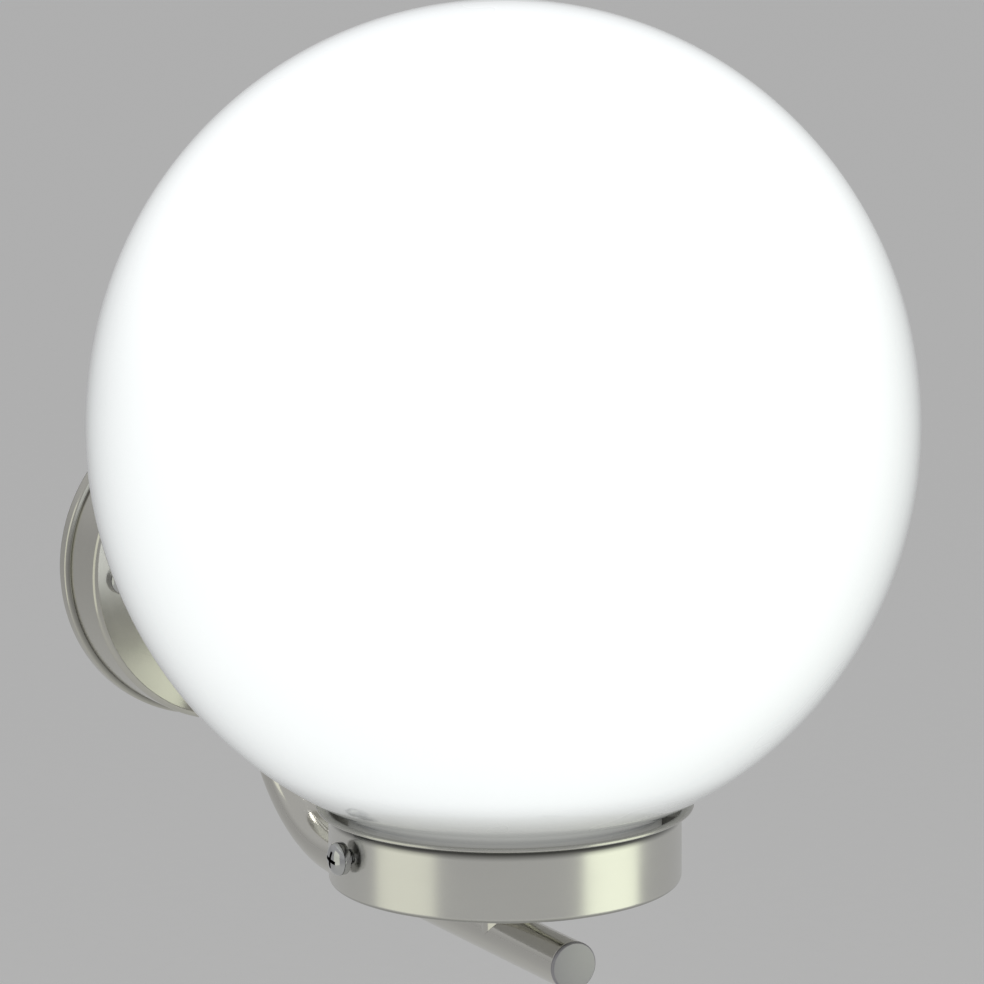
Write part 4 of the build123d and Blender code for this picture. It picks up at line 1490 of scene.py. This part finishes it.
@dataclass
class Rose:
    """Wall rose: cover, screws, foam, strap, terminals and the earth point."""

    finishes: Finishes
    screw: MachineScrew
    radius: float = 42.0 * MM
    rim: float = 43.4 * MM
    depth: float = 19.5 * MM
    rim_depth: float = 3.9 * MM
    step: float = 0.5 * MM
    sheet: float = 0.8 * MM
    gap: float = 0.8 * MM
    hole: float = 6.03 * MM
    screw_x: float = 33.8 * MM
    screw_length: float = 8.0 * MM
    screw_hole: float = 2.26 * MM
    drill_from: float = -25.0 * MM
    drill_to: float = -15.0 * MM
    left_turn: float = 0.3
    right_turn: float = 0.95
    earth_turn: float = 0.8

    def cover(self) -> None:
        """The stepped cup that hides the strap."""
        front, wall = -self.depth, -self.gap
        step_y = -self.rim_depth - self.step
        inner, inner_rim = self.radius - self.sheet, self.rim - self.sheet
        outline = closed_outline(
            [
                (self.hole, front, 0),
                (self.radius, front, 1.6 * MM),
                (self.radius, step_y, 0.4 * MM),
                (self.rim, -self.rim_depth, 0.9 * MM),
                (self.rim, wall, 0.2 * MM),
                (inner_rim, wall, 0.2 * MM),
                (inner_rim, self.sheet * 0.85 - self.rim_depth, 0.1 * MM),
                (inner, self.sheet * 0.75 + step_y, 1.2 * MM),
                (inner, front + self.sheet, 0.8 * MM),
                (self.hole, front + self.sheet, 0),
            ],
            10,
        )
        cover = lathe("rose_cover_spun", outline, Axis.ROSE, 240)
        holes = []
        for x in (-self.screw_x, self.screw_x):
            across = [Vector((x, y, 0)) for y in (self.drill_from, self.drill_to)]
            holes.append(tube("hole", across, self.screw_hole, 0.0, 40))
        cut(cover, holes)
        dress(cover, self.finishes.rose, "bracket", "stainless", "rose_cover")

    def screws(self) -> None:
        """The pair on the rose's face, and the earth screw on the strap."""
        out = Vector((0, -1, 0))
        pair = []
        for side, turn in ((-1, self.left_turn), (1, self.right_turn)):
            seat = Vector((side * self.screw_x, -self.depth - FIT, 0))
            name = f"rose_screw_{side}"
            pair.append(self.screw.build(name, seat, out, self.screw_length, turn))
        piece = merged("rose_screw_pair", pair)
        dress(piece, self.screw.material, "bracket", "screw_steel", "rose_screws")
        low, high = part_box("earth_screw")
        middle = (low + high) / 2
        seat = Vector((middle.x, low.y + self.screw.head_height, middle.z))
        length = high.y - seat.y
        piece = self.screw.build("earth_point_screw", seat, out, length, self.earth_turn)
        dress(piece, self.screw.material, "bracket", "screw_steel", "earth_screw")

    def build(self) -> None:
        """Make and dress the rose's pieces."""
        self.cover()
        self.screws()
        dress_nodes(
            {
                "rose_gasket": self.finishes.foam,
                "wall_strap": self.finishes.zinc,
                "strap_pillars": self.finishes.zinc,
                "inlet_grommet": self.finishes.rubber,
                "terminal_block": self.finishes.white_plastic,
                "terminal_screws": self.finishes.zinc,
                "earth_lug": self.finishes.copper,
            }
        )


@dataclass
class Wiring:
    """Internal wires, from the terminals through the arm to the lampholder."""

    arm: Arm
    radius: float = 1.0 * MM
    bend: float = 5.0 * MM
    nipple_bend: float = 10.0 * MM
    earth_bend: float = 4.0 * MM
    pole_x: float = 8.0 * MM
    block_y: float = -7.0 * MM
    block_z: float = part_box("terminal_block")[0].z
    in_arm_x: float = 1.5 * MM
    at_holder_x: float = 6.5 * MM
    live: WireSleeve = WireSleeve(
        "brown_sleeve", rgb(0.14, 0.05, 0.02), rgb(0.16, 0.06, 0.02), 0.3
    )
    neutral: WireSleeve = WireSleeve(
        "blue_sleeve", rgb(0.03, 0.1, 0.38), rgb(0.04, 0.12, 0.4), 0.3
    )
    earth: WireSleeve = WireSleeve(
        "earth_sleeve", rgb(0.05, 0.3, 0.05), rgb(0.75, 0.62, 0.03), 0.4
    )

    def _wire(
        self, sleeve: WireSleeve, kind: str, route: list[tuple], radii: list[float], slot: str
    ) -> None:
        """Make and dress one wire.

        Args:
            sleeve: Its finish.
            kind: Word that its node's name starts with.
            route: Corners of its middle line.
            radii: Radius of the bend at each inner corner.
            slot: The record's material slot.
        """
        wire = tube(f"{kind}_wire_sleeve", rounded(route, radii, 24), self.radius, 0.0, 24)
        dress(wire, sleeve.build(), "bracket", slot, f"{kind}_wire")

    def line(self, side: int, start_x: float, sleeve: WireSleeve, kind: str, slot: str) -> None:
        """Make a wire that goes through the arm.

        Args:
            side: -1 or 1, its side of the arm's middle.
            start_x: Place of its terminal.
            sleeve: Its finish.
            kind: Word that its node's name starts with.
            slot: The record's material slot.
        """
        x, far = side * self.in_arm_x, side * self.at_holder_x
        nipple_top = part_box("nipple")[1].z
        holder_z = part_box("contact_carrier")[0].z
        route = [
            (start_x, self.block_y, self.block_z + 3 * MM),
            (start_x, self.block_y, self.block_z - 5 * MM),
            (x, self.block_y + MM, 0),
            (x, self.arm.drop_y, 0),
            (x, self.arm.drop_y, BAR_Z),
            (x, -REACH, BAR_Z),
            (x, -REACH, nipple_top + MM),
            (far, -REACH, nipple_top + 6 * MM),
            (far, -REACH, holder_z + 3 * MM),
        ]
        in_arm = [self.arm.upper_bend, self.arm.lower_bend, self.nipple_bend]
        self._wire(sleeve, kind, route, [self.bend] * 2 + in_arm + [self.bend] * 2, slot)

    def build(self) -> None:
        """Make and dress the three wires."""
        self.line(-1, -self.pole_x, self.live, "live", "wire_brown")
        self.line(1, 0.0, self.neutral, "neutral", "wire_blue")
        low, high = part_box("earth_lug")
        lug_x, lug_y = (low.x + high.x) / 2, low.y - self.radius - FIT
        route = [
            (self.pole_x, self.block_y, self.block_z + 3 * MM),
            (self.pole_x, self.block_y, self.block_z - 4.5 * MM),
            (lug_x, lug_y, self.block_z - 6 * MM),
            (lug_x, lug_y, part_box("earth_wire")[1].z - 1.5 * MM),
        ]
        self._wire(self.earth, "earth", route, [self.earth_bend] * 2, "wire_green")


@dataclass
class Lampholder:
    """Lampholder on its threaded nipple, inside the globe's neck."""

    finishes: Finishes
    thread: Recipe
    ribs: Recipe
    top_z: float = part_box("lampholder_body")[1].z
    joint_z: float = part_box("lampholder_body")[0].z
    base_z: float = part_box("lampholder_cap")[0].z
    hole: float = 5.05 * MM
    neck: float = 8.5 * MM
    cap_radius: float = 18.5 * MM
    cap_height: float = 7.03 * MM
    sleeve: float = 19.0 * MM
    sleeve_bead: float = 19.5 * MM
    socket: float = 17.6 * MM
    socket_depth: float = 6.97 * MM
    mouth: float = 14.0 * MM
    rib_count: int = 60
    rib_radius: float = 0.55 * MM
    shell_bore: float = 13.65 * MM
    shell_radius: float = 13.9 * MM
    shell_pitch: float = 3.6 * MM
    nipple_bore: float = 3.9 * MM
    nipple_core: float = 4.6 * MM
    nipple_pitch: float = 1.0 * MM

    def nipple(self) -> None:
        """Brass tube with its thread."""
        low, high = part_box("nipple")
        core = [
            (self.nipple_bore, low.z, 0.1 * MM),
            (self.nipple_core, low.z, 0.2 * MM),
            (self.nipple_core, high.z, 0.2 * MM),
            (self.nipple_bore, high.z, 0.1 * MM),
        ]
        body = lathe("nipple_core", closed_outline(core, 4), Axis.GLOBE, 64)
        run = high.z - low.z - self.nipple_pitch
        ridges = self.thread.make(
            "nipple_ridges",
            radius=self.nipple_core + 0.08 * MM,
            ridge=0.31 * MM,
            turns=run / self.nipple_pitch,
            height=run,
            base=(0.0, -REACH, low.z + self.nipple_pitch / 2),
            steps=40,
            material=self.finishes.brass,
        )
        piece = merged("threaded_nipple", [body, ridges])
        dress(piece, self.finishes.brass, "bracket", "brass", "nipple")

    def cap(self) -> None:
        """Domed lower half."""
        shoulder, joint = self.joint_z - self.cap_height, self.joint_z - FIT
        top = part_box("nipple")[1].z + 0.2 * MM
        inner = self.cap_radius - 2.0 * MM
        outline = closed_outline(
            [
                (self.hole, self.base_z, 0),
                (self.neck, self.base_z, 0.6 * MM),
                (self.neck, shoulder - 7 * MM, 1.5 * MM),
                (self.cap_radius, shoulder, 4.0 * MM),
                (self.cap_radius, joint, 0.2 * MM),
                (inner, joint, 0.2 * MM),
                (inner, shoulder + MM, 2.0 * MM),
                (self.neck, top, 0),
                (self.hole, top, 0),
            ],
            8,
        )
        piece = lathe("holder_cap_domed", outline, Axis.GLOBE, 96)
        material = self.finishes.black_plastic
        dress(piece, material, "bracket", "black_plastic", "lampholder_cap")

    def body(self) -> None:
        """Outer sleeve with the ribs of its grip."""
        lip, shelf = self.top_z - 1.5 * MM, self.joint_z + self.socket_depth
        outline = closed_outline(
            [
                (self.socket, self.joint_z, 0.2 * MM),
                (self.sleeve, self.joint_z, 0.5 * MM),
                (self.sleeve, lip - 4 * MM, 0.4 * MM),
                (self.sleeve_bead, lip - 3.5 * MM, 0.4 * MM),
                (self.sleeve_bead, lip, 0.5 * MM),
                (self.mouth + 4 * MM, self.top_z, 0.6 * MM),
                (self.mouth + MM, self.top_z, 0.5 * MM),
                (self.mouth, lip, 0.5 * MM),
                (self.mouth, shelf, 0),
                (self.socket, shelf, 0),
            ],
            6,
        )
        sleeve = lathe("holder_sleeve", outline, Axis.GLOBE, 120)
        material = self.finishes.black_plastic
        low, high = self.joint_z + 3 * MM, lip - 5 * MM
        grip = self.ribs.make(
            "holder_ribs",
            count=self.rib_count,
            ring_radius=self.sleeve - 0.1 * MM,
            rib_radius=self.rib_radius,
            rib_length=high - low,
            centre=(0.0, -REACH, (low + high) / 2),
            unevenness=0.01,
            seed=5,
            material=material,
        )
        piece = merged("holder_body_ribbed", [sleeve, grip])
        dress(piece, material, "bracket", "black_plastic", "lampholder_body")

    def shell(self) -> None:
        """Brass screw shell with its rolled thread."""
        low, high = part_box("screw_shell")
        outline = closed_outline(
            [
                (self.shell_bore, low.z, 0),
                (self.shell_radius, low.z, 0),
                (self.shell_radius, high.z, 0),
                (self.shell_bore, high.z, 0),
            ],
            2,
        )
        wall = lathe("shell_wall", outline, Axis.GLOBE, 96)
        run = high.z - low.z - 6 * MM
        roll = self.thread.make(
            "shell_roll",
            radius=self.shell_bore + 0.07 * MM,
            ridge=0.16 * MM,
            ridge_sides=10,
            turns=run / self.shell_pitch,
            height=run,
            base=(0.0, -REACH, low.z + 4 * MM),
            steps=96,
            material=self.finishes.brass,
        )
        piece = merged("rolled_screw_shell", [wall, roll])
        dress(piece, self.finishes.brass, "bracket", "brass", "screw_shell")

    def build(self) -> None:
        """Make and dress the lampholder's pieces."""
        self.nipple()
        self.cap()
        self.body()
        self.shell()
        dress_nodes(
            {
                "nipple_washer": self.finishes.zinc,
                "nipple_nut": self.finishes.brass,
                "contact_carrier": self.finishes.ceramic,
                "centre_contact": self.finishes.brass,
                "side_contact": self.finishes.brass,
                "holder_screws": self.finishes.brass,
            }
        )


@dataclass
class Lamp:
    """LED lamp: rolled screw cap, plastic housing and opal dome."""

    finishes: Finishes
    thread: Recipe
    radius: float = 30.0 * MM
    wall: float = 1.2 * MM
    top_z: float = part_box("lamp_diffuser")[1].z
    joint_z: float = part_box("lamp_diffuser")[0].z
    cap_z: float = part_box("lamp_cap")[0].z
    cap_top_z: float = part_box("lamp_cap")[1].z
    cap_bore: float = 12.0 * MM
    cap_radius: float = 12.5 * MM
    roll: float = 0.85 * MM
    roll_turns: float = 4.2
    roll_height: float = 15.2 * MM
    spigot: float = 11.9 * MM
    spigot_height: float = 14.0 * MM
    housing_foot: float = 13.4 * MM
    housing_wall: float = 1.6 * MM
    board_height: float = 1.6 * MM

    def cap(self) -> None:
        """Screw cap with a helical rolled thread."""
        outline = closed_outline(
            [
                (self.cap_bore, self.cap_z, 0.1 * MM),
                (self.cap_radius, self.cap_z, 0.2 * MM),
                (self.cap_radius, self.cap_top_z, 0.1 * MM),
                (self.cap_bore, self.cap_top_z, 0.1 * MM),
            ],
            3,
        )
        wall = lathe("cap_wall", outline, Axis.GLOBE, 96)
        roll = self.thread.make(
            "cap_roll",
            radius=(self.cap_bore + self.cap_radius) / 2,
            ridge=self.roll,
            ridge_sides=16,
            turns=self.roll_turns,
            height=self.roll_height,
            base=(0.0, -REACH, self.cap_z + 2.2 * MM),
            steps=96,
            material=self.finishes.nickel,
        )
        piece = merged("lamp_cap_rolled", [wall, roll])
        dress(piece, self.finishes.nickel, "lamp", "nickel", "lamp_cap")

    def housing(self) -> None:
        """Flaring plastic body between cap and dome."""
        centre = self.top_z - self.radius
        mouth = math.sqrt(self.radius**2 - (self.joint_z - centre) ** 2)
        low, foot = self.cap_top_z + 1.0 * MM, self.housing_foot
        outer = []
        for step in range(33):
            share = step / 32
            flare = 0.35 * share + 0.65 * share**2
            height = low + (self.joint_z - low) * share
            outer.append(Vector((foot + (mouth - foot) * flare, height)))
        inner = [Vector((point.x - self.housing_wall, point.y)) for point in reversed(outer)]
        spigot_z = self.cap_z + self.spigot_height
        outline = [
            Vector((self.spigot, spigot_z)),
            Vector((self.spigot + 0.05 * MM, self.cap_top_z)),
            Vector((self.spigot + 0.7 * MM, self.cap_top_z + 0.05 * MM)),
            *outer,
            *inner,
            Vector((self.spigot - MM, spigot_z)),
        ]
        piece = lathe("lamp_housing_flared", outline, Axis.GLOBE, 120)
        dress(piece, self.finishes.lamp_white, "lamp", "lamp_white", "lamp_housing")

    def dome(self) -> None:
        """Opal dome over the board."""
        centre = self.top_z - self.radius
        outline = []
        for size, order in ((self.radius, 1), (self.radius - self.wall, -1)):
            low = math.asin((self.joint_z - centre) / size)
            outline += arc((0, centre), (size, size), low, math.pi / 2, 40)[::order]
        piece = lathe("lamp_dome", outline, Axis.GLOBE, 120)
        dress(piece, self.finishes.lamp_opal, "lamp", "lamp_opal", "lamp_diffuser")

    def build(self) -> None:
        """Make and dress the lamp's pieces."""
        self.cap()
        self.housing()
        self.dome()
        board_top = self.joint_z + self.board_height
        board = DiodeBoard("diode_board", rgb(0.85, 0.85, 0.83), board_top)
        dress_nodes(
            {
                "lamp_board": board.build(),
                "lamp_insulator": self.finishes.black_glass,
                "lamp_tip": self.finishes.solder,
            }
        )


# Studio


@dataclass
class Softbox:
    """One soft light. Azimuth 0 is the wall's outward side, and 90 is towards +X."""

    name: str
    azimuth: float
    elevation: float
    distance: float
    width: float
    height: float
    power: float
    colour: tuple[float, float, float] = (1.0, 1.0, 1.0)

    def build(self, target: Vector) -> None:
        """Place the light.

        Args:
            target: Point that it is aimed at.
        """
        turn, rise = math.radians(self.azimuth), math.radians(self.elevation)
        level = math.cos(rise)
        away = Vector((math.sin(turn) * level, -math.cos(turn) * level, math.sin(rise)))
        data = bpy.data.lights.new(self.name, "AREA")
        data.shape = "RECTANGLE"
        data.size, data.size_y = self.width, self.height
        data.energy = self.power
        data.color = self.colour
        lamp = linked(self.name, data)
        lamp.location = target + away * self.distance
        lamp.rotation_euler = away.to_track_quat("Z", "Y").to_euler()


@dataclass
class Viewpoint:
    """Camera at the photograph's place, 1.2 m from the globe. Angles are in radians."""

    place: tuple[float, float, float] = (-577.08 * MM, -1194.2 * MM, 270.88 * MM)
    yaw: float = -0.50865
    pitch: float = -0.18979
    roll: float = -0.00435
    lens: float = 182.9
    sensor: float = 36.0
    clip_start: float = 0.05
    clip_end: float = 50.0

    def build(self) -> None:
        """Place the camera and make it the scene's own."""
        level_pitch = math.cos(self.pitch)
        forward = Vector(
            (
                -math.sin(self.yaw) * level_pitch,
                math.cos(self.yaw) * level_pitch,
                math.sin(self.pitch),
            )
        )
        level = Vector((math.cos(self.yaw), math.sin(self.yaw), 0))
        upright = level.cross(forward)
        right = level * math.cos(self.roll) + upright * math.sin(self.roll)
        up = upright * math.cos(self.roll) - level * math.sin(self.roll)
        data = bpy.data.cameras.new("camera")
        data.sensor_width, data.lens = self.sensor, self.lens
        data.clip_start, data.clip_end = self.clip_start, self.clip_end
        camera = linked("camera", data)
        turned = Matrix((right, up, -forward)).transposed().to_4x4()
        camera.matrix_world = Matrix.Translation(self.place) @ turned
        bpy.context.scene.camera = camera


@dataclass
class Studio:
    """Pale floor, even surroundings, soft lights and the camera."""

    floor_z: float = -0.9
    floor_radius: float = 40.0
    floor_colour: Colour = rgb(0.8, 0.8, 0.8)
    air_colour: Colour = rgb(0.53, 0.53, 0.53)
    horizon_colour: Colour = rgb(0.42, 0.42, 0.42)
    horizon_rise: float = 0.35
    target: tuple[float, float, float] = (0.0, -REACH, 20.0 * MM)

    def floor(self) -> None:
        """Round pale floor."""
        shape = bmesh.new()
        bmesh.ops.create_circle(shape, cap_ends=True, segments=96, radius=self.floor_radius)
        bmesh.ops.translate(shape, verts=shape.verts, vec=(0, 0, self.floor_z))
        mesh = mesh_of("floor", shape)
        graph = Graph("pale_floor")
        grain = graph.noise(graph.place(), 60.0, 3.0)
        dark, light = shaded(self.floor_colour, 0.99), shaded(self.floor_colour, 1.01)
        material = graph.shade(
            base_color=graph.mix(grain, dark, light), roughness=grain * 0.1 + 0.85
        )
        mesh.materials.append(material)
        linked("floor", mesh)

    def air(self) -> None:
        """Even pale surroundings, which meet the floor without a line."""
        world = bpy.data.worlds.new("surroundings")
        world.use_nodes = True
        tree = world.node_tree
        direction = tree.nodes.new("ShaderNodeTexCoord")
        parts = tree.nodes.new("ShaderNodeSeparateXYZ")
        blend = tree.nodes.new("ShaderNodeValToRGB")
        blend.color_ramp.interpolation = "EASE"
        low, high = blend.color_ramp.elements
        low.position, low.color = 0.0, self.horizon_colour
        high.position, high.color = self.horizon_rise, self.air_colour
        tree.links.new(direction.outputs["Generated"], parts.inputs[0])
        tree.links.new(parts.outputs["Z"], blend.inputs[0])
        tree.links.new(blend.outputs["Color"], tree.nodes["Background"].inputs["Color"])
        bpy.context.scene.world = world

    def lights(self) -> None:
        """Soft lights round the object."""
        boxes = (
            Softbox(
                "right_strip", azimuth=45.0, elevation=-2.0, distance=1.5,
                width=1.2, height=1.6, power=5.2, colour=(0.935, 1.0, 0.755),
            ),
            Softbox(
                "left_panel", azimuth=-98.0, elevation=-2.0, distance=1.6,
                width=1.35, height=1.6, power=3.1, colour=(0.98, 1.0, 0.775),
            ),
            Softbox(
                "overhead", azimuth=-20.0, elevation=75.0, distance=1.6,
                width=0.14, height=1.6, power=6.0,
            ),
        )
        for box in boxes:
            box.build(Vector(self.target))

    def build(self) -> None:
        """Set up the studio."""
        self.floor()
        self.air()
        self.lights()
        Viewpoint().build()
        bpy.context.scene.view_settings.view_transform = "Standard"


def main() -> None:
    """Build the light piece by piece, then the studio."""
    logging.basicConfig(level=logging.INFO, format="%(name)s: %(message)s")
    finishes = Finishes()
    thread, ribs = thread_recipe(), rib_recipe()
    screw = MachineScrew(finishes.screw, thread)
    arm = Arm(finishes)
    Globe(finishes).build()
    Gallery(finishes, screw).build()
    arm.build()
    Rose(finishes, screw).build()
    Wiring(arm).build()
    Lampholder(finishes, thread, ribs).build()
    Lamp(finishes, thread).build()
    Studio().build()


if __name__ == "__main__":
    main()
